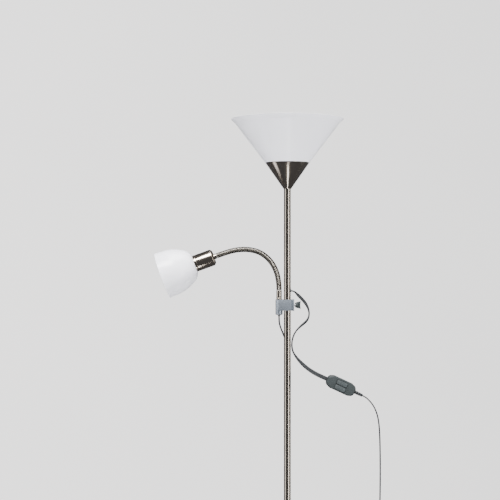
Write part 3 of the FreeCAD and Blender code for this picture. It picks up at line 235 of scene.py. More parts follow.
# %% Satin nickel
def brushed(name, light, dark, soft, fine=2600.0, turn=(0, 0, 0), metallic=1.0):
    """A metal with brush marks along Z, or along another axis after that turn."""
    def recipe(start):
        spot = place_of(start)[0]
        hair = noise(start, stretched(start, spot, fine, 14.0, turn), 1.0, 2.0)
        band = noise(start, stretched(start, spot, fine * 0.12, 3.0, turn), 1.0, 2.0)
        wear = noise(start, spot, 26.0, 4.0)
        tone = hair * 0.4 + band * 0.3 + wear * 0.3
        return {
            "Base Color": blend_colours(start, tone, dark, light),
            "Roughness": soft + (hair - 0.5) * 0.03 + (wear - 0.5) * 0.03,
            "Normal": bump(start, hair, 0.03, 0.000004),
        }

    return finish(name, {"Metallic": metallic}, recipe)


warm, shadow = (0.40, 0.355, 0.30), (0.24, 0.21, 0.175)
nickel = brushed("satin_nickel_brushed", warm, shadow, 0.17)


def spun_recipe(start):
    spot = place_of(start)[0]
    hair = noise(start, rings(start, 1500.0), 1.0, 3.0)
    band = noise(start, rings(start, 140.0), 1.0, 2.0)
    wear = noise(start, spot, 18.0, 4.0)
    tone = hair * 0.4 + band * 0.35 + wear * 0.25
    return {
        "Base Color": blend_colours(start, tone, shadow, warm),
        "Roughness": 0.29 + (tone - 0.5) * 0.2,
        "Normal": bump(start, hair, 0.18, 0.00005),
    }


spun_nickel = finish("satin_nickel_spun", {"Metallic": 1.0}, spun_recipe)


# %% [markdown]
# ### Opal shades
#
# Both shades are white plastic with a gloss skin that lets light through. In daylight it
# looks white with a touch of blue. A little subsurface light softens the shading, and very
# slow waves in the surface stand for the flow of the moulded plastic.

# %% Opal plastic
def opal_recipe(start):
    spot = place_of(start)[0]
    cloud = noise(start, spot, 14.0, 3.0)
    dust = noise(start, spot, 900.0, 2.0)
    wave = noise(start, spot, 34.0, 1.0)
    return {
        "Base Color": blend_colours(start, cloud, (0.90, 0.90, 0.975), (0.945, 0.945, 1.0)),
        "Roughness": 0.26 + cloud * 0.08 + dust * 0.05,
        "Normal": bump(start, wave + dust * 0.03, 0.1, 0.0004),
    }


opal = finish(
    "opal_plastic_gloss",
    {
        "Subsurface Weight": 0.22,
        "Subsurface Radius": (0.012, 0.012, 0.013),
        "Subsurface Scale": 1.0,
        "IOR": 1.49,
        "Coat Weight": 0.25,
        "Coat Roughness": 0.12,
    },
    opal_recipe,
)
bulb_glass_finish = finish(
    "bulb_glass_white",
    {"Subsurface Weight": 0.15, "Subsurface Radius": (0.008, 0.008, 0.007), "IOR": 1.5},
    lambda start: {
        "Base Color": blend_colours(
            start, noise(start, place_of(start)[0], 60.0), (0.86, 0.85, 0.82), (0.92, 0.915, 0.89)
        ),
        "Roughness": 0.34 + noise(start, place_of(start)[0], 1200.0) * 0.1,
    },
)


# %% [markdown]
# ### Moulded plastics, rubber, felt and cast filler
#
# The switch, the lamp holders, the cable jackets and the grips are all dull moulded
# plastics in different greys. One function makes them, with the grain size and gloss as
# its numbers. Spark-eroded moulds leave a fine pebbled skin, so the grain goes into bump
# and roughness more than into colour.

# %% Dull materials
def moulded(name, low, high, soft, grain=2200.0, depth=0.00006, strength=0.35, shine=0.5):
    def recipe(start):
        spot = place_of(start)[0]
        pebble = noise(start, spot, grain, 2.0)
        shade = noise(start, spot, 45.0, 4.0)
        return {
            "Base Color": blend_colours(start, shade * 0.7 + pebble * 0.3, low, high),
            "Roughness": soft + (pebble - 0.5) * 0.25,
            "Normal": bump(start, pebble, strength, depth),
        }

    return finish(name, {"Specular IOR Level": shine}, recipe)


cable_jacket = moulded(
    "cable_jacket_grey", (0.012, 0.0135, 0.015), (0.021, 0.023, 0.025), 0.52,
    shine=0.3,
)
switch_skin = moulded(
    "switch_skin_slate", (0.017, 0.022, 0.0225), (0.024, 0.030, 0.031), 0.58,
    shine=0.3,
)
rocker_skin = moulded("rocker_skin_slate", (0.026, 0.033, 0.034), (0.036, 0.044, 0.046), 0.45)
dark_skin = moulded("dark_skin", (0.014, 0.015, 0.016), (0.028, 0.029, 0.031), 0.44)
white_skin = moulded("white_skin", (0.72, 0.72, 0.70), (0.80, 0.80, 0.78), 0.38)
felt = moulded("foot_felt", (0.020, 0.020, 0.022), (0.060, 0.060, 0.064), 0.92, 700.0, 0.0006, 0.8)
cast_filler = moulded(
    "cast_filler", (0.26, 0.255, 0.24), (0.40, 0.39, 0.37), 0.85, 300.0, 0.0008, 0.7
)

# %% [markdown]
# ### Clamp metal, plated steel and plug pins
#
# The clamp is die-cast zinc with a cool grey satin finish, brushed upright. Screws and the
# bolt are bright zinc-plated steel. The plug's pins are nickel-plated brass.

# %% Metals of the small parts
sideways = (0, 1.57, 0)
clamp_metal = brushed(
    "clamp_grey_satin", (0.31, 0.345, 0.39), (0.22, 0.25, 0.29), 0.36, 1500.0, metallic=0.82
)
steel = brushed(
    "plated_steel_bright", (0.66, 0.67, 0.68), (0.45, 0.46, 0.47), 0.3, 1800.0, sideways
)
pin_metal = brushed(
    "plug_pin_plating", (0.78, 0.76, 0.72), (0.60, 0.58, 0.53), 0.24, 1800.0, sideways
)
# Painted shade: the gooseneck is the same satin nickel as the pole, but its colour is painted less than half
# as bright to stand for the shade in and between its wound turns.
neck_nickel_painted_shade = brushed("gooseneck_satin_painted_shade", (0.17, 0.158, 0.14), (0.08, 0.074, 0.064), 0.26, 900.0)
slot_finishes = {
    "satin_nickel": nickel,
    "opal_plastic": opal,
    "clamp_grey": clamp_metal,
    "grey_plastic": switch_skin,
    "white_plastic": white_skin,
    "dark_plastic": dark_skin,
    "cable_grey": cable_jacket,
    "plated_steel": steel,
    "plug_brass": pin_metal,
    "bulb_opal": bulb_glass_finish,
    "concrete": cast_filler,
    "foot_felt": felt,
}
for entry in frame["record"]["subparts"]:
    for slot in frame["nodes"][entry["node"]].material_slots:
        slot.material = slot_finishes[entry["material_slot"]]


# %% [markdown]
# ## Meshes from lists of points
#
# A piece of this lamp is either turned on a lathe, swept along a line, or a moulded block.
# Each kind gets one helper. All of them end in `settle`, which makes the object, points its
# faces outwards, shades it smooth and hands it to the body it moves with.

# %% Settle a mesh
slot_of = {material: slot for slot, material in slot_finishes.items()}
slot_of |= {spun_nickel: "satin_nickel", neck_nickel_painted_shade: "satin_nickel", rocker_skin: "grey_plastic"}


def settle(name, shape, body, material, replaced=(), sharp=40, slot=None):
    """The finished piece from a bmesh: closed, facing out, riding on its body."""
    slot = slot or slot_of[material]
    bmesh.ops.remove_doubles(shape, verts=shape.verts, dist=1e-6)
    bmesh.ops.recalc_face_normals(shape, faces=shape.faces)
    data = bpy.data.meshes.new(name)
    shape.to_mesh(data)
    shape.free()
    data.materials.append(material)
    data.shade_smooth()
    data.set_sharp_from_angle(angle=math.radians(sharp))
    piece = linked(name, data)
    if body:
        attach(piece, body)
    if replaced:
        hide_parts(*replaced)
    print(f"{name}: {len(data.polygons)} faces")
    return piece


# %% [markdown]
# ## Cords first
#
# The lamp has three cords that show: the reading light's lead, the flat cable to the
# switch, and the lead from the switch to the plug. Each follows a smooth NURBS line through
# the same points as the CAD solid. The line is drawn as a curve, turned into points, and
# then a section is swept along them.

# %% A smooth line through route points
def curve_of(kind, spots):
    """A curve object with one spline of that kind, with those points."""
    data = bpy.data.curves.new("guide", "CURVE")
    data.dimensions = "3D"
    spline = data.splines.new(kind)
    spline.points.add(len(spots) - 1)
    for point, spot in zip(spline.points, spots):
        point.co = (*spot, 1)
    return linked("guide", data)


def smooth_line(route):
    """Points along the NURBS spline that has these control points."""
    holder = curve_of("NURBS", route)
    data = holder.data
    spline = data.splines[0]
    spline.order_u = 3
    spline.use_endpoint_u = True
    spline.resolution_u = 12
    read = bpy.data.meshes.new_from_object(holder)
    points = [v.co.copy() for v in read.vertices]
    bpy.data.objects.remove(holder)
    bpy.data.curves.remove(data)
    bpy.data.meshes.remove(read)
    return points


def run_lengths(points):
    """How far along the line each point is."""
    reach = [0.0]
    for a, b in zip(points, points[1:]):
        reach.append(reach[-1] + (b - a).length)
    return reach


# %% [markdown]
# ### Sections
#
# A mains lead with two cores has a waist between them, and the flat cable to the switch has
# four cores in a row. So the section is a row of overlapping circles. It is walked round
# once: the outer circles give their outsides, and the inner ones only their crests.

# %% Section of a cable with cores in a row
def cores_in_a_row(width, thickness, cores, steps=7):
    """Outline of overlapping round cores, across first, then out of the flat side."""
    r = thickness / 2
    gap = (width - thickness) / (cores - 1) if cores > 1 else 0
    centres = [gap * (n - (cores - 1) / 2) for n in range(cores)]
    meet = math.acos(gap / 2 / r) if cores > 1 else 0
    outline = []
    for side in (1, -1):
        for number, centre in enumerate(centres[::-side]):
            low = meet if number else 0
            high = math.pi - meet if number < cores - 1 else math.pi
            for step in range(steps):
                angle = low + (high - low) * step / steps
                x, y = side * r * math.cos(angle), side * r * math.sin(angle)
                outline.append((centre + x, y))
    return outline


# %% Sweep a section along a line
def frames_along(points, turn_at=None):
    """Point, side and face at each point, the side kept near level or turned from there."""
    reach = run_lengths(points)
    rows = []
    level = side = Vector((0, 1, 0))
    for number, spot in enumerate(points):
        way = points[min(number + 1, len(points) - 1)] - points[max(number - 1, 0)]
        way.normalize()
        if turn_at is None:
            side = side - way * side.dot(way)
            side.normalize()
            across = side
        else:
            flat = (level - way * way.dot(level)).normalized()
            turn = Matrix.Rotation(math.radians(turn_at(reach[number] / reach[-1])), 3, way)
            across = turn @ flat
        rows.append((spot, across, across.cross(way)))
    return rows


def sweep(points, section, turn_at=None):
    """A closed mesh of that section along the points."""
    shape = bmesh.new()
    loops = [
        [shape.verts.new(spot + across * u + out * v) for u, v in section]
        for spot, across, out in frames_along(points, turn_at)
    ]
    for first, second in zip(loops, loops[1:]):
        for n in range(len(section)):
            m = (n + 1) % len(section)
            shape.faces.new((first[n], first[m], second[m], second[n]))
    shape.faces.new(loops[0][::-1])
    shape.faces.new(loops[-1])
    return shape


# %% [markdown]
# ### The flat cable to the switch
#
# It leaves the pole just above the clamp, bows out, drops into a loop that nearly touches
# the pole, and then reaches across to the switch. On the way it twists a quarter turn, so
# that it shows its thin edge in one place and its flat side in another.

# %% Flat cable
ribbon_route = [
    (0.00215, 0.0, 1.409), (0.0136, 0.0004, 1.4086), (0.0232, 0.0074, 1.3994),
    (0.0345, 0.014, 1.3885), (0.045, 0.0175, 1.3756), (0.0506, 0.018, 1.3612),
    (0.0504, 0.017, 1.348), (0.045, 0.0155, 1.338), (0.035, 0.013, 1.33),
    (0.0236, 0.0106, 1.32), (0.0156, 0.009, 1.3086), (0.0114, 0.0086, 1.2956),
    (0.0103, 0.0086, 1.282), (0.0126, 0.009, 1.2686), (0.0206, 0.0098, 1.2554),
    (0.033, 0.0106, 1.2414), (0.0482, 0.0114, 1.228), (0.0666, 0.012, 1.2166),
    (0.086015, 0.012, 1.207652), (0.095992, 0.012, 1.203021),
]
ribbon_twist = [
    (0.0, 0), (0.04, 0), (0.11, 38), (0.17, 38), (0.28, 6), (0.36, 26),
    (0.50, 0), (0.62, 6), (0.80, 58), (0.94, 90), (1.0, 90),
]


def ribbon_turn(share):
    """Turn of the cable at that share of its length, eased between the listed ones."""
    for (s0, t0), (s1, t1) in zip(ribbon_twist, ribbon_twist[1:]):
        if share <= s1:
            step = (share - s0) / (s1 - s0)
            return t0 + (t1 - t0) * step * step * (3 - 2 * step)
    return ribbon_twist[-1][1]


ribbon_line = smooth_line(ribbon_route)
flat_section = cores_in_a_row(9.5 * MM, 3.3 * MM, 4)
flat_cable = settle(
    "flat_cable", sweep(ribbon_line, flat_section, ribbon_turn), "stand", cable_jacket,
    ("ribbon_cable",), 60,
)
print("flat cable:", round(run_lengths(ribbon_line)[-1], 4), "m")

# %% [markdown]
# ### The lead from the switch to the plug
#
# It hangs from the switch to the floor, bends there under its own weight, and runs behind
# the foot to the plug. Two thin cores lie side by side in it.

# %% Mains lead
mains_route = [
    (0.149508, 0.012, 1.178179), (0.175812, 0.012, 1.165969), (0.184, 0.0128, 1.1606),
    (0.198, 0.0136, 1.145), (0.2076, 0.0146, 1.1226), (0.212, 0.0156, 1.094),
    (0.2136, 0.0164, 1.048), (0.2142, 0.0174, 0.99), (0.2136, 0.0182, 0.93),
    (0.2124, 0.0184, 0.866), (0.2116, 0.018, 0.8), (0.2118, 0.0172, 0.734),
    (0.2128, 0.0166, 0.668), (0.2138, 0.0166, 0.602), (0.214, 0.0172, 0.536),
    (0.2134, 0.018, 0.47), (0.2128, 0.0184, 0.404), (0.2132, 0.0188, 0.338),
    (0.2144, 0.0198, 0.272), (0.216, 0.0216, 0.206), (0.2176, 0.0246, 0.144),
    (0.219, 0.029, 0.088), (0.2204, 0.038, 0.042), (0.2216, 0.058, 0.01),
    (0.2214, 0.088, 0.0029), (0.218, 0.124, 0.0029), (0.206, 0.16, 0.0029),
    (0.184, 0.192, 0.0029), (0.154, 0.216, 0.0029), (0.118, 0.232, 0.0029),
    (0.078, 0.241, 0.0029), (0.04, 0.245, 0.0034), (0.011595, 0.253735, 0.0069),
    (-0.032164, 0.249136, 0.0069),
]
mains_line = smooth_line(mains_route)
twin_section = cores_in_a_row(5.3 * MM, 3.1 * MM, 2)
mains_cord = settle(
    "mains_cord", sweep(mains_line, twin_section), "stand", cable_jacket, ("mains_lead",), 60
)
print("mains lead:", round(run_lengths(mains_line)[-1], 4), "m")

# %% [markdown]
# ### The reading light's lead
#
# This thin round lead drops out of the clamp and goes into the pole's back below it. The
# clamp slides and turns, so the lead has to follow. It is made as two pieces that meet
# halfway. The upper one bends as the clamp turns, and the lower one as the clamp slides.

# %% Reading lead
lead_top_route = [
    (-0.019, 0.0, 1.3529), (-0.019, 0.0006, 1.339), (-0.017, 0.002, 1.328),
    (-0.0132, 0.0064, 1.3186),
]
lead_low_route = [
    (-0.0132, 0.0064, 1.3186), (-0.0094, 0.0108, 1.3092), (-0.004, 0.0186, 1.296),
    (-0.0012, 0.022, 1.2836), (-0.0002, 0.0206, 1.2714), (0.0, 0.0145, 1.264),
    (0.0, 0.006, 1.264),
]
round_core = cores_in_a_row(3.8 * MM, 3.8 * MM, 1, 9)
lead_top_line = smooth_line(lead_top_route)
lead_low_line = smooth_line(lead_low_route)
lead_top = sweep(lead_top_line, round_core)
lead_top = settle("reading_lead_top", lead_top, None, cable_jacket, ("reading_lead_upper",))
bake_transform(lead_top, "slider", "clamp", lead_top_route[-1], (-0.019, 0.0, 1.346))
lead_low = sweep(lead_low_line, round_core)
lead_low = settle("reading_lead_low", lead_low, None, cable_jacket, ("reading_lead_lower",))
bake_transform(lead_low, "stand", "slider", (-0.0004, 0.0206, 1.270), lead_low_route[0])

# %% [markdown]
# ## Turned pieces
#
# The pole, cup, bowl, shade, housing, holders and bulbs are all round. Each is the half
# section of the CAD part, turned about an axis. A real edge is never knife sharp, so a
# corner may carry a radius, and a curve through three points stands in for the CAD arcs.

# %% Lathe helper
def softened(corners, closed, steps=4):
    """Section points, each corner with a radius replaced by a small curve."""
    result = []
    last = len(corners) - 1
    for number, (r, z, *rest) in enumerate(corners):
        radius = rest[0] if rest else 0
        if not radius or (not closed and number in (0, last)):
            result.append(Vector((r, z)))
            continue
        here = Vector((r, z))
        before = Vector(corners[number - 1][:2]) - here
        after = Vector(corners[(number + 1) % len(corners)][:2]) - here
        half = before.angle(after) / 2
        reach = min(radius / math.tan(half), 0.45 * before.length, 0.45 * after.length)
        enter = here + before.normalized() * reach
        leave = here + after.normalized() * reach
        for step in range(steps + 1):
            t = step / steps
            result.append(enter * (1 - t) ** 2 + here * 2 * t * (1 - t) + leave * t * t)
    return result


def through(a, b, c, count=8):
    """Points on the circle from a through b to c, without a itself."""
    (ax, ay), (bx, by), (cx, cy) = a, b, c
    aa, bb, cc = (x ** 2 + y ** 2 for x, y in (a, b, c))
    d = 2 * (ax * (by - cy) + bx * (cy - ay) + cx * (ay - by))
    ux = (aa * (by - cy) + bb * (cy - ay) + cc * (ay - by)) / d
    uy = (aa * (cx - bx) + bb * (ax - cx) + cc * (bx - ax)) / d
    radius = math.hypot(ax - ux, ay - uy)
    start, mid, end = (math.atan2(y - uy, x - ux) for x, y in (a, b, c))
    to_mid, to_end = ((t + math.pi) % (2 * math.pi) - math.pi for t in (mid - start, end - mid))
    angles = [start + (to_mid + to_end) * n / count for n in range(1, count + 1)]
    return [(ux + radius * math.cos(t), uy + radius * math.sin(t)) for t in angles]


def turned(corners, place=Matrix(), steps=96):
    """A solid of revolution about Z from its half section in millimetres."""
    on_axis = corners[0][0] == 0 and corners[-1][0] == 0
    section = softened(corners, not on_axis)
    shape = bmesh.new()
    rows = []
    for point in section:
        r, count = (0, 1) if point.x < 1e-6 else (point.x * MM, steps)
        turns = [2 * math.pi * n / steps for n in range(count)]
        ring = [Vector((r * math.cos(t), r * math.sin(t), point.y * MM)) for t in turns]
        rows.append([shape.verts.new(place @ corner) for corner in ring])
    pairs = list(zip(rows, rows[1:])) + ([] if on_axis else [(rows[-1], rows[0])])
    for low, high in pairs:
        for n in range(steps):
            m = (n + 1) % steps
            ring = [low[n % len(low)], low[m % len(low)], high[m % len(high)], high[n % len(high)]]
            corner = list(dict.fromkeys(ring))
            if len(corner) > 2:
                shape.faces.new(corner)
    return shape


# %% [markdown]
# ## The foot
#
# A pressed steel cover sits over a cast weight, with a felt pad under it. The cover's crown
# slopes gently to a rounded shoulder and a short skirt. The light catches that shoulder as
# one bright ring, so it gets many small steps.

# %% Foot cover and pad
foot_shoulder = through((132, 17), (137.6, 15), (140, 10), 10)
foot_inside = through((138.8, 10), (136.4, 13.8), (131.4, 15.8), 8)
foot_section = (
    [(5.05, 26), (8.6, 26, 0.3), (9.6, 25.6, 0.3), (30, 25.75, 14), (132, 17, 3)]
    + foot_shoulder
    + [(140, 1.5, 0.5), (138.8, 1.5, 0.5), (138.8, 10)]
    + foot_inside
    + [(30, 24.6), (5.05, 24.8)]
)
settle("foot_cover", turned(foot_section, steps=160), "stand", spun_nickel, ("base_cover",))
pad = turned([(0, 0), (118.5, 0, 0), (120, 1.2, 0.8), (120, 3), (0, 3)], steps=120)
settle("foot_felt_pad", pad, "stand", felt, ("base_foot_pad",))

# %% [markdown]
# ## The pole
#
# Three tubes of the same length screw together, and the joints show as hairlines, because
# each tube's rim is rounded a little. The upper tube has the holes for the cables, so its
# CAD shape stays, and only the two plain tubes are turned here.

# %% Pole tubes
tube_ends = [26.0, 564.3, 1102.6]
for name, low, high in zip(("pole_lower", "pole_middle"), tube_ends, tube_ends[1:]):
    tube = turned([(7, low), (8, low, 0.35), (8, high, 0.35), (7, high)], steps=72)
    settle(f"{name}_tube", tube, "stand", nickel, (name,), 60)

# %% [markdown]
# ## The uplight: cup and bowl
#
# A spun metal cup carries the bowl. The bowl is moulded with a straight flared side and a
# lip that turns out further. Its wall is two millimetres thick, and the lip's edge is
# rounded on both sides, so that the rim reads as one thin bright line.

# %% Cup and bowl
cup_section = [
    (5.05, 1640.9), (8.7, 1640.9, 0.6), (50.3, 1700.5, 0.4), (49.1, 1700.5, 0.3),
    (8.2, 1641.9), (5.05, 1641.9),
]
settle("uplight_cup", turned(cup_section, steps=128), "stand", nickel, ("shade_cup",))
bowl_section = [
    (17.9, 1700.5), (50.3, 1700.5, 0.7), (118.5, 1790.0, 4), (128.8, 1799.5, 0.9),
    (126.8, 1799.5, 0.9), (116.0, 1790.8, 4), (49.5, 1702.5, 2.5), (17.9, 1702.5),
]
settle("uplight_bowl", turned(bowl_section, steps=160), "stand", opal, ("bowl_shade",))

# %% [markdown]
# ## Trees that follow a line
#
# Four kinds of part repeat one shape along a line: the gooseneck's wound wire, the screw
# threads of the bulb caps, the ribs of the cable sleeves and the grip ribs of the knob.
# Geometry Nodes suit them, because a few numbers give pitch and depth. The helper below
# sets those numbers by the socket's identifier, evaluates the tree once and keeps only the
# plain mesh.

# %% Run a geometry tree once
def tree_with(name, sizes):
    """A geometry tree with a Geometry input and one named number for each size."""
    tree = bpy.data.node_groups.new(name, "GeometryNodeTree")
    for way in ("INPUT", "OUTPUT"):
        tree.interface.new_socket("Geometry", in_out=way, socket_type="NodeSocketGeometry")
    for label, value in sizes.items():
        kind = "NodeSocketInt" if isinstance(value, int) else "NodeSocketFloat"
        socket = tree.interface.new_socket(label, in_out="INPUT", socket_type=kind)
        socket.default_value = value
    return tree, Wire(tree).node("NodeGroupInput")


def close_tree(start, shape, material):
    """The tree's end: real geometry, one finish."""
    shape = start.node("GeometryNodeRealizeInstances", inputs={"Geometry": shape})
    shape = start.node(
        "GeometryNodeSetMaterial", inputs={"Geometry": shape, "Material": material}
    )
    start.node("NodeGroupOutput", inputs={"Geometry": shape})


def grown(tree, points, sizes):
    """The tree's mesh for a line through those points, as a bmesh."""
    guide = curve_of("POLY", points)
    data = guide.data
    modifier = guide.modifiers.new("grow", "NODES")
    modifier.node_group = tree
    for item in tree.interface.items_tree:
        if item.in_out == "INPUT" and item.name in sizes:
            modifier[item.identifier] = sizes[item.name]
    bpy.context.view_layer.update()
    ready = guide.evaluated_get(bpy.context.evaluated_depsgraph_get())
    mesh = bpy.data.meshes.new_from_object(ready)
    shape = bmesh.new()
    shape.from_mesh(mesh)
    for layers in (shape.verts.layers.float, shape.verts.layers.float_vector):
        for key in list(layers.keys()):
            layers.remove(layers[key])
    bpy.data.objects.remove(guide)
    bpy.data.curves.remove(data)
    bpy.data.meshes.remove(mesh)
    return shape


# %% [markdown]
# ### A tube whose skin is worked out from its line
#
# The winding and the sleeve begin the same way. The line is cut into short steps, and each
# step remembers where it is, which way it heads and how far along it lies. A circle is
# swept along it, and every point then knows its own middle, so it can be moved in or out.

# %% Swept skin
def remembered(start, shape, label, kind, value):
    return start.node(
        "GeometryNodeStoreNamedAttribute",
        {"data_type": kind, "domain": "POINT"},
        {"Geometry": shape, "Name": label, "Value": value},
    )


def recalled(start, label, kind):
    return start.node("GeometryNodeInputNamedAttribute", {"data_type": kind}, {"Name": label})


def vector_maths(start, operation, *values, out=0):
    values = dict(enumerate(values))
    return start.node("ShaderNodeVectorMath", {"operation": operation}, values, out)


def swept_skin(start, step, radius, resolution):
    """A round tube along the input line, with what each point needs to know."""
    line = start.node(
        "GeometryNodeResampleCurve", {"mode": "LENGTH"}, {"Curve": start, "Length": step}
    )
    along = start.node("GeometryNodeSplineParameter", out=1)
    line = remembered(start, line, "reach", "FLOAT", along)
    for label, kind in (("middle", "Position"), ("heading", "Tangent")):
        value = start.node("GeometryNodeInput" + kind)
        line = remembered(start, line, label, "FLOAT_VECTOR", value)
    circle = start.node(
        "GeometryNodeCurvePrimitiveCircle", inputs={"Resolution": resolution, "Radius": radius}
    )
    tube = start.node(
        "GeometryNodeCurveToMesh",
        inputs={"Curve": line, "Profile Curve": circle, "Fill Caps": True},
    )
    middle = recalled(start, "middle", "FLOAT_VECTOR")
    spot = start.node("GeometryNodeInputPosition")
    out = vector_maths(start, "NORMALIZE", vector_maths(start, "SUBTRACT", spot, middle))
    heading = recalled(start, "heading", "FLOAT_VECTOR")
    level = vector_maths(start, "CROSS_PRODUCT", heading, (0.0, 1.0, 0.0))
    side = vector_maths(start, "DOT_PRODUCT", out, (0.0, 1.0, 0.0), out=1)
    above = vector_maths(start, "DOT_PRODUCT", out, level, out=1)
    return tube, out, recalled(start, "reach", "FLOAT"), side.maths("ARCTAN2", side, above)


def pushed(start, tube, out, amount):
    """Every point moved outwards by that much."""
    offset = start.node(
        "ShaderNodeVectorMath", {"operation": "SCALE"}, {"Vector": out, "Scale": amount}
    )
    return start.node("GeometryNodeSetPosition", inputs={"Geometry": tube, "Offset": offset})


# %% [markdown]
# ### Wound wire and threads
#
# A gooseneck is a round wire wound tight, with a second wire pressed between its turns. Its
# skin is a helix: going once round is the same as going one pitch along. So the height of
# the skin depends on `reach / pitch + angle / turn` only, and the part of that sum after
# the decimal point says whether a spot is on a crest or in a groove. A screw thread is the
# same shape on a straight line.

# %% Helix tree
winding_tree, start = tree_with(
    "wound_wire",
    {"Radius": 0.0062, "Groove": 0.0008, "Pitch": 0.0029, "Lead In": 0.0, "Sharpness": 3.0},
)
radius, groove, pitch = start.beside("Radius"), start.beside("Groove"), start.beside("Pitch")
tube, out, reach, angle = swept_skin(start, step=pitch / 8.0, radius=radius, resolution=40)
turns = (reach + start.beside("Lead In")) / pitch + angle / (2 * math.pi)
share = turns.maths("FRACT", turns)
hollow = abs(share * 2.0 - 1.0) ** start.beside("Sharpness")
close_tree(start, pushed(start, tube, out, hollow * groove * -1.0), neck_nickel_painted_shade)

# %% [markdown]
# ## The gooseneck
#
# The arm bends, so one solid mesh won't do. The CAD frame has seven short sections with a
# hinge between each two. Here the wound skin is cut in the middle of every section, and
# each length is blended over the hinge that it crosses. The winding count carries on from
# one length to the next, so no seam shows.

# %% Line of the neck
neck_turns = (11, 19, 22, 25, 17, 13, 3)
sections, section_length = len(neck_turns), 29.0


def arc_end(x, z, heading, turn, distance):
    """Where a steady bend from x, z ends up that turns so much in each section."""
    radius = section_length / math.radians(turn)
    a0 = math.radians(heading)
    a1 = a0 + distance / radius
    x += radius * (math.sin(a1) - math.sin(a0))
    z += radius * (math.cos(a0) - math.cos(a1))
    return x, z


neck_frames = [(-19.0, 1410.0, 90.0)]
for turn in neck_turns:
    x, z, heading = neck_frames[-1]
    neck_frames.append((*arc_end(x, z, heading, turn, section_length), heading + turn))


def on_neck(distance):
    """The point at that distance from the neck's foot, in metres."""
    number = min(int(distance // section_length), sections - 1)
    past = distance - number * section_length
    x, z = arc_end(*neck_frames[number], neck_turns[number], past)
    return Vector((x * MM, 0, z * MM))


# %% Wound skin of the neck
cuts = [0.0] + [section_length * (n + 0.5) for n in range(sections)]
cuts += [section_length * sections]
neck_bodies = ["neck_foot"] + [f"neck_{n}" for n in range(2, 8)] + ["reading_head"]
for number, (low, high) in enumerate(zip(cuts, cuts[1:])):
    count = max(int((high - low) / 1.2), 4)
    points = [on_neck(low + (high - low) * n / count) for n in range(count + 1)]
    winding = settle(
        f"neck_winding_{number}",
        grown(winding_tree, points, {"Lead In": low * MM}),
        "neck_foot" if number == 0 else None,
        neck_nickel_painted_shade,
        (f"neck_section_{number + 1}",) if number < sections else (),
        70,
    )
    if number:
        a, b = neck_bodies[number - 1], neck_bodies[number]
        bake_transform(winding, a, b, points[0], points[-1])

# %% Ferrules of the neck
neck_foot_place = Matrix.Translation((-0.019, 0, 1.388))
x, z, heading = neck_frames[-1]
head_turn = Matrix.Rotation(math.radians(90 - heading), 4, "Y")
head_place = Matrix.Translation((x * MM, 0, z * MM)) @ head_turn
collar = [
    (2.5, -24), (4, -24, 0.4), (4, 0), (6.2, 0, 0.5), (6.2, 3.2, 0.2), (5.9, 3.5, 0.2),
    (5.9, 4.1, 0.2), (6.2, 4.4, 0.2), (6.2, 21.3, 0.6), (2.5, 21.3),
]
collar = turned(collar, neck_foot_place, 64)
settle("neck_collar", collar, "neck_foot", nickel, ("neck_ferrule",))
collar = [(2.5, 0.4), (6.2, 0.8, 0.4), (6.2, 6), (4, 6), (4, 14), (2.5, 14)]
collar = turned(collar, head_place, 64)
settle("head_collar", collar, "reading_head", nickel, ("head_ferrule",))

# %% [markdown]
# ## The reading head
#
# A turned metal housing holds the small lampholder. Its rear edge is chamfered, and near
# its mouth there is a fine groove where the rim was rolled. The white shade starts narrow,
# swells quickly and then runs almost straight to its mouth, so its section is two arcs and
# two short straights, inside and out.

# %% Housing and shade
back, mouth = 6.0, 53.0
housing = [
    (4.05, back), (14.5, back, 0.8), (19, back + 4.5, 1.2), (19, mouth - 6, 0.15),
    (18.7, mouth - 5.7, 0.15), (18.7, mouth - 5.2, 0.15), (19, mouth - 4.9, 0.15),
    (19, mouth, 0.4), (17.8, mouth, 0.3), (17.8, back + 5.1), (13.9, back + 1.2),
    (4.05, back + 1.2),
]
housing = turned(housing, head_place, 128)
settle("reading_lamp_housing", housing, "reading_head", nickel, ("reading_housing",))
shade_outside = (
    [(13.3, mouth), (21, mouth, 0.8)]
    + through((21, mouth), (31, mouth + 5.4), (38.5, mouth + 15), 10)
    + through((38.5, mouth + 15), (47.6, mouth + 33.5), (52.2, mouth + 55), 14)
    + [(53.5, mouth + 79, 0.9)]
)
shade_inside = (
    [(51.5, mouth + 79, 0.9), (50.2, mouth + 55)]
    + through((50.2, mouth + 55), (45.8, mouth + 34.3), (36.94, mouth + 16.24), 14)
    + through((36.94, mouth + 16.24), (29.8, mouth + 7), (21, mouth + 2), 10)
    + [(13.3, mouth + 2)]
)
shade = turned(shade_outside + shade_inside, head_place, 160)
settle("reading_lamp_shade", shade, "reading_head", opal, ("reading_shade",))

# %% [markdown]
# ## Lampholders and bulbs
#
# Both lights have the same parts in two sizes: a plastic holder, a threaded ring that holds
# the shade down, and a bulb with a screw cap. The thread on the cap is the helix tree again,
# on a straight line and with the pitch of a real cap.

# %% Holders and their rings
def ring_with_grip(foot, height, outer, inner, place):
    """A ring whose side has two shallow finger grooves."""
    third = height / 3
    section = [(inner, foot), (outer - 0.6, foot, 0.4), (outer, foot + 0.6, 0.3)]
    for groove in (foot + third, foot + 2 * third):
        section += [(outer, groove - 0.3, 0.2), (outer - 0.5, groove, 0.2)]
        section += [(outer, groove + 0.3, 0.2)]
    section += [(outer, foot + height, 0.5), (inner, foot + height)]
    return turned(section, place, 96)


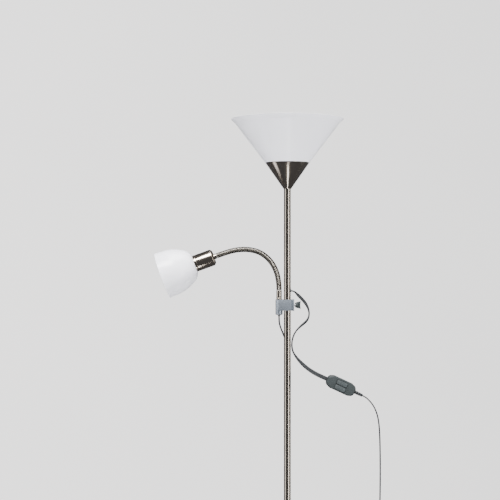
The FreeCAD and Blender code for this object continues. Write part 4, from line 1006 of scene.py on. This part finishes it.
big_holder = turned(
    [
        (5.05, 1647.9), (8, 1647.9, 0.5), (8, 1655.9, 1.5), (20, 1662.9, 1.5), (20, 1700.5, 0.3),
        (17.6, 1700.5), (17.6, 1711.5, 0.6), (13.4, 1711.5, 0.3), (13.4, 1685.5), (3.4, 1685.5),
        (3.4, 1655.9), (5.05, 1655.9),
    ]
)
settle("uplight_holder", big_holder, "stand", white_skin, ("bulb_holder",))
ring = ring_with_grip(1702.5, 6, 27, 17.65, Matrix())
settle("uplight_ring", ring, "stand", white_skin, ("bowl_ring",))
small_holder = turned(
    [
        (2.5, 14), (14, 14, 0.6), (14, 53, 0.3), (13, 53), (13, 61, 0.5), (7.4, 61, 0.3),
        (7.4, 37), (2.5, 37),
    ],
    head_place,
)
settle("reading_lamp_holder", small_holder, "reading_head", white_skin, ("reading_holder",))
ring = ring_with_grip(55, 5, 19.5, 13.05, head_place)
settle("reading_lamp_ring", ring, "reading_head", white_skin, ("reading_ring",))


# %% Bulbs
def bulb(name, foot, cap_radius, cap_length, length, globe, neck, pitch, place, body, nodes):
    """A screw cap with its thread, and an opal globe on it."""
    top = foot + length
    seat = foot + cap_length
    lowest, swing, flat_top = -36.87, 122.5, 0.0029
    glass = [(0, seat), (0.94 * neck, seat, 0.8), (0.8 * globe, top - 1.6 * globe, 4)]
    angle = [math.radians(lowest + swing * n / 20) for n in range(1, 21)]
    glass += [(globe * math.cos(a), top - globe + globe * math.sin(a)) for a in angle]
    glass = turned(glass + [(0, top - flat_top * globe)], place, 96)
    settle(f"{name}_globe", glass, body, bulb_glass_finish, (nodes[1],))
    low, high, count = foot + 0.26 * cap_length, seat - 0.5, 24
    line = [place @ Vector((0, 0, (low + (high - low) * n / count) * MM)) for n in range(count + 1)]
    sizes = {"Radius": cap_radius * MM, "Groove": 0.9 * MM, "Pitch": pitch * MM, "Sharpness": 1.4}
    thread = grown(winding_tree, line, sizes)
    tip = [
        (0, foot), (0.35 * cap_radius, foot, 0.5),
        (0.55 * cap_radius, foot + 0.12 * cap_length),
        (0.9 * cap_radius, foot + 0.25 * cap_length, 0.6), (0.9 * cap_radius, low + 1),
        (0, low + 1),
    ]
    tip = turned(tip, place, 64)
    extra = bpy.data.meshes.new("tip")
    tip.to_mesh(extra)
    tip.free()
    thread.from_mesh(extra)
    bpy.data.meshes.remove(extra)
    settle(f"{name}_cap", thread, body, pin_metal, (nodes[0],), 50)


bulb(
    "uplight_bulb", 1686.5, 13, 26, 108, 30, 14.5, 3.62, Matrix(), "stand",
    ("bulb_cap", "bulb_glass"),
)
bulb(
    "reading_bulb", 38.0, 7, 24, 78, 22.5, 9, 2.82, head_place, "reading_head",
    ("reading_bulb_cap", "reading_bulb_glass"),
)


# %% [markdown]
# ## Blocks with eased edges
#
# The clamp, the switch and the plug are moulded blocks with holes. Their CAD shapes are
# right, but their edges are sharp. A copy of each has its flat triangles merged back into
# whole faces, and then every edge that turns more than thirty degrees is rounded a little.

# %% Eased copies
def eased(node, width):
    """A copy of a CAD node's shape with its sharp edges rounded."""
    shape = bmesh.new()
    shape.from_mesh(frame["nodes"][node].data)
    bmesh.ops.remove_doubles(shape, verts=shape.verts, dist=2e-6)
    bmesh.ops.dissolve_limit(
        shape, angle_limit=math.radians(1.0), verts=shape.verts, edges=shape.edges
    )
    sharp = [
        e for e in shape.edges
        if len(e.link_faces) == 2 and e.calc_face_angle() > math.radians(30)
    ]
    bmesh.ops.bevel(
        shape, geom=sharp, offset=width * MM, segments=2, profile=0.6,
        affect="EDGES", clamp_overlap=True,
    )
    return shape


blocks = [
    ("clamp_block", "clamp_body", 0.35, "clamp", clamp_metal),
    ("clamp_flange", "clamp_plate", 0.3, "clamp", clamp_metal),
    ("thumb_knob", "clamp_knob", 0.4, "knob", switch_skin),
    ("switch_face", "switch_front", 0.35, "stand", switch_skin),
    ("switch_rear", "switch_back", 0.35, "stand", switch_skin),
    ("rocker_key_upper", "switch_rocker_upper", 0.3, "rocker_upper", rocker_skin),
    ("rocker_key_lower", "switch_rocker_lower", 0.3, "rocker_lower", rocker_skin),
    ("plug_shell", "plug_body", 0.5, "stand", switch_skin),
]
for name, node, width, body, material in blocks:
    settle(name, eased(node, width), body, material, (node,), 35)

# %% [markdown]
# ## Cable sleeves
#
# Where the lead leaves the switch and the plug, a soft ribbed sleeve keeps it from kinking.
# It tapers towards the cable, and its ribs are split left and right by turns so that it can
# bend. The skin tree takes the two radii and the number of ribs and cuts the slots.

# %% Sleeve tree
sleeve_tree, start = tree_with(
    "ribbed_sleeve", {"Root": 0.0044, "Tip": 0.0034, "Length": 0.02, "Ribs": 7, "Slot": 0.0009}
)
length, ribs = start.beside("Length"), start.beside("Ribs")
root, tip = start.beside("Root"), start.beside("Tip")
tube, out, reach, angle = swept_skin(start, step=0.0003, radius=root, resolution=48)
share = reach / length
taper = (tip - root) * share
count = share * ribs
row = count.maths("FLOOR", count)
within = count - row
angle = angle + row * (math.pi / 2)
open_side = abs(angle.maths("SINE", angle)) - 0.35
open_side = open_side.maths("SMOOTH_MIN", open_side * 6.0, 1.0, 0.1)
open_side = open_side.maths("MAXIMUM", open_side, 0.0)
slot_here = (0.5 - abs(within - 0.5)) * 2.0
slot_here = slot_here.maths("MAXIMUM", (slot_here - 0.45) * 4.0, 0.0)
slot_here = slot_here.maths("MINIMUM", slot_here, 1.0)
edge_rows = (count > 0.9) * (1.0 - (count > (ribs - 0.4)))
cut = slot_here * open_side * edge_rows * start.beside("Slot")
close_tree(start, pushed(start, tube, out, taper - cut), cable_jacket)


def stretch_of(points, low, high, count=24):
    """Evenly spaced points on the line between two distances along it."""
    reach = run_lengths(points)
    result = []
    for n in range(count + 1):
        want = low + (high - low) * n / count
        place = next(i for i in range(1, len(reach)) if reach[i] >= want or i == len(reach) - 1)
        span = reach[place] - reach[place - 1]
        t = (want - reach[place - 1]) / span if span else 0
        result.append(points[place - 1].lerp(points[place], t))
    return result


mains_length = run_lengths(mains_line)[-1]
sleeve_length = 20 * MM
switch_end, plug_end = 5 * MM, mains_length - 4 * MM
sleeves = [
    ("switch_cable_sleeve", "switch_sleeve", switch_end, switch_end + sleeve_length),
    ("plug_cable_sleeve", "plug_sleeve", plug_end, plug_end - sleeve_length),
]
for name, node, low, high in sleeves:
    sleeve = grown(sleeve_tree, stretch_of(mains_line, low, high), {"Length": sleeve_length})
    settle(name, sleeve, "stand", cable_jacket, (node,), 50, "grey_plastic")

# %% [markdown]
# ## Grip ribs
#
# Fingers need hold on the knob's wings. Each grip is one small rib with round ends,
# repeated in a row. The tree places a copy at every point of a line, and the rib is itself
# a short line with a circle swept along it.

# %% Rib tree
rib_tree, start = tree_with("row_of_ribs", {"Count": 5, "Reach": 0.006, "Thickness": 0.0006})
line = start.node(
    "GeometryNodeResampleCurve", {"mode": "COUNT"}, {"Curve": start, "Count": start.beside("Count")}
)
half = start.beside("Reach") / 2.0
low_end = start.node("ShaderNodeCombineXYZ", inputs={"Z": half * -1.0})
high_end = start.node("ShaderNodeCombineXYZ", inputs={"Z": half})
bar = start.node("GeometryNodeCurvePrimitiveLine", inputs={"Start": low_end, "End": high_end})
bar = start.node("GeometryNodeResampleCurve", {"mode": "COUNT"}, {"Curve": bar, "Count": 9})
along = start.node("GeometryNodeSplineParameter", out=0)
bulge = 1.0 - abs(along * 2.0 - 1.0) ** 6.0 * 0.97
round_profile = start.node(
    "GeometryNodeCurvePrimitiveCircle",
    inputs={"Resolution": 10, "Radius": start.beside("Thickness")},
)
bar = start.node(
    "GeometryNodeCurveToMesh",
    inputs={"Curve": bar, "Profile Curve": round_profile, "Scale": bulge, "Fill Caps": True},
)
placed = start.node("GeometryNodeInstanceOnPoints", inputs={"Points": line, "Instance": bar})
close_tree(start, placed, switch_skin)

knob_foot, knob_height = 17.8, 1375.65
for number, y in enumerate((-2.5, 2.5)):
    first = Vector(((knob_foot + 7.2) * MM, y * MM, knob_height * MM))
    sizes = {"Count": 4, "Reach": 11 * MM, "Thickness": 0.42 * MM}
    row = grown(rib_tree, [Vector(), Vector((3.6 * MM, 0, 0))], sizes)
    bmesh.ops.translate(row, verts=row.verts, vec=first)
    settle(f"knob_ribs_{number}", row, "knob", switch_skin)

# %% [markdown]
# ## Studio
#
# The picture has a plain pale ground and soft light. Brushed metal only looks like metal
# when it has something dark to mirror, so the room round the lamp is dim. The pale paper
# round the lamp glows a little for the camera alone, brighter on the left than on the
# right. The floor is a wide disc below the camera's view.

# %% Floor and paper
sides = 64


def circle_of(radius):
    angles = [2 * math.pi * n / sides for n in range(sides)]
    return [(radius * math.cos(a), radius * math.sin(a)) for a in angles]


def stage_piece(name, corners, faces, material):
    """A piece of the studio, which mirrors don't show."""
    data = bpy.data.meshes.new(name)
    data.from_pydata(corners, [], faces)
    data.materials.append(material)
    piece = linked(name, data)
    piece.visible_glossy = False
    return piece


def plain_floor(start):
    spot = place_of(start)[0]
    cloud = noise(start, spot, 3.0)
    return {
        "Base Color": blend_colours(start, cloud, (0.784, 0.784, 0.7889), (0.80, 0.80, 0.805)),
        "Roughness": 0.6 + noise(start, spot, 40.0) * 0.05,
    }


stage_piece(
    "studio_floor",
    [(x, y, -0.0005) for x, y in circle_of(3.2)],
    [tuple(range(sides))],
    finish("studio_floor_finish", {"Specular IOR Level": 0.2}, plain_floor),
)


def paper(start):
    spot, x, _, z = place_of(start)
    side = (x + 2.4) / 4.8
    side = side.maths("MINIMUM", side.maths("MAXIMUM", side, 0.0), 1.0)
    cloud = noise(start, spot, 0.5, 2.0)
    tone = side * 0.7 + cloud * 0.3
    return {
        "Emission Color": blend_colours(start, tone, (0.98, 0.965, 0.96), (0.78, 0.775, 0.77)),
        "Roughness": 0.9 + cloud * 0.05,
    }


backdrop = stage_piece(
    "backdrop",
    [(x, y, z) for x, y in circle_of(9.0) for z in (-5.0, 9.0)],
    [
        (2 * n, 2 * n + 1, (2 * n + 3) % (2 * sides), (2 * n + 2) % (2 * sides))
        for n in range(sides)
    ],
    finish(
        "backdrop_paper",
        {"Base Color": (0, 0, 0, 1), "Specular IOR Level": 0.0, "Emission Strength": 2.3},
        paper,
    ),
)
backdrop.visible_diffuse = False
backdrop.visible_shadow = False

# %% Light
world = bpy.data.worlds.new("studio_world")
bpy.context.scene.world = world
world.use_nodes = True
background = world.node_tree.nodes["Background"].inputs
background["Color"].default_value = (0.15, 0.152, 0.165, 1)
background["Strength"].default_value = 1.0


def soft_box(name, place, size, power, aim=(0, 0, 1.4)):
    data = bpy.data.lights.new(name, "AREA")
    data.shape = "RECTANGLE"
    data.size, data.size_y = size
    data.energy = power
    lamp = linked(name, data)
    lamp.location = place
    lamp.rotation_euler = (Vector(aim) - Vector(place)).to_track_quat("-Z", "Y").to_euler()
    lamp.visible_camera = False


soft_box("key_box", (-0.9, -2.4, 4.3), (1.8, 1.4), 430)
soft_box("strip_box", (1.75, -2.0, 1.5), (0.42, 3.0), 62)
soft_box("side_box", (-2.5, -0.9, 1.5), (0.9, 3.0), 34)
soft_box("edge_box", (2.5, 0.3, 1.5), (0.4, 3.0), 26)
soft_box("low_box", (0.05, -0.68, 0.06), (0.14, 0.5), 4, (0, 0, 1.67))
soft_box("top_box", (0.1, -0.4, 3.8), (1.5, 1.5), 120, (0, 0, 1.2))
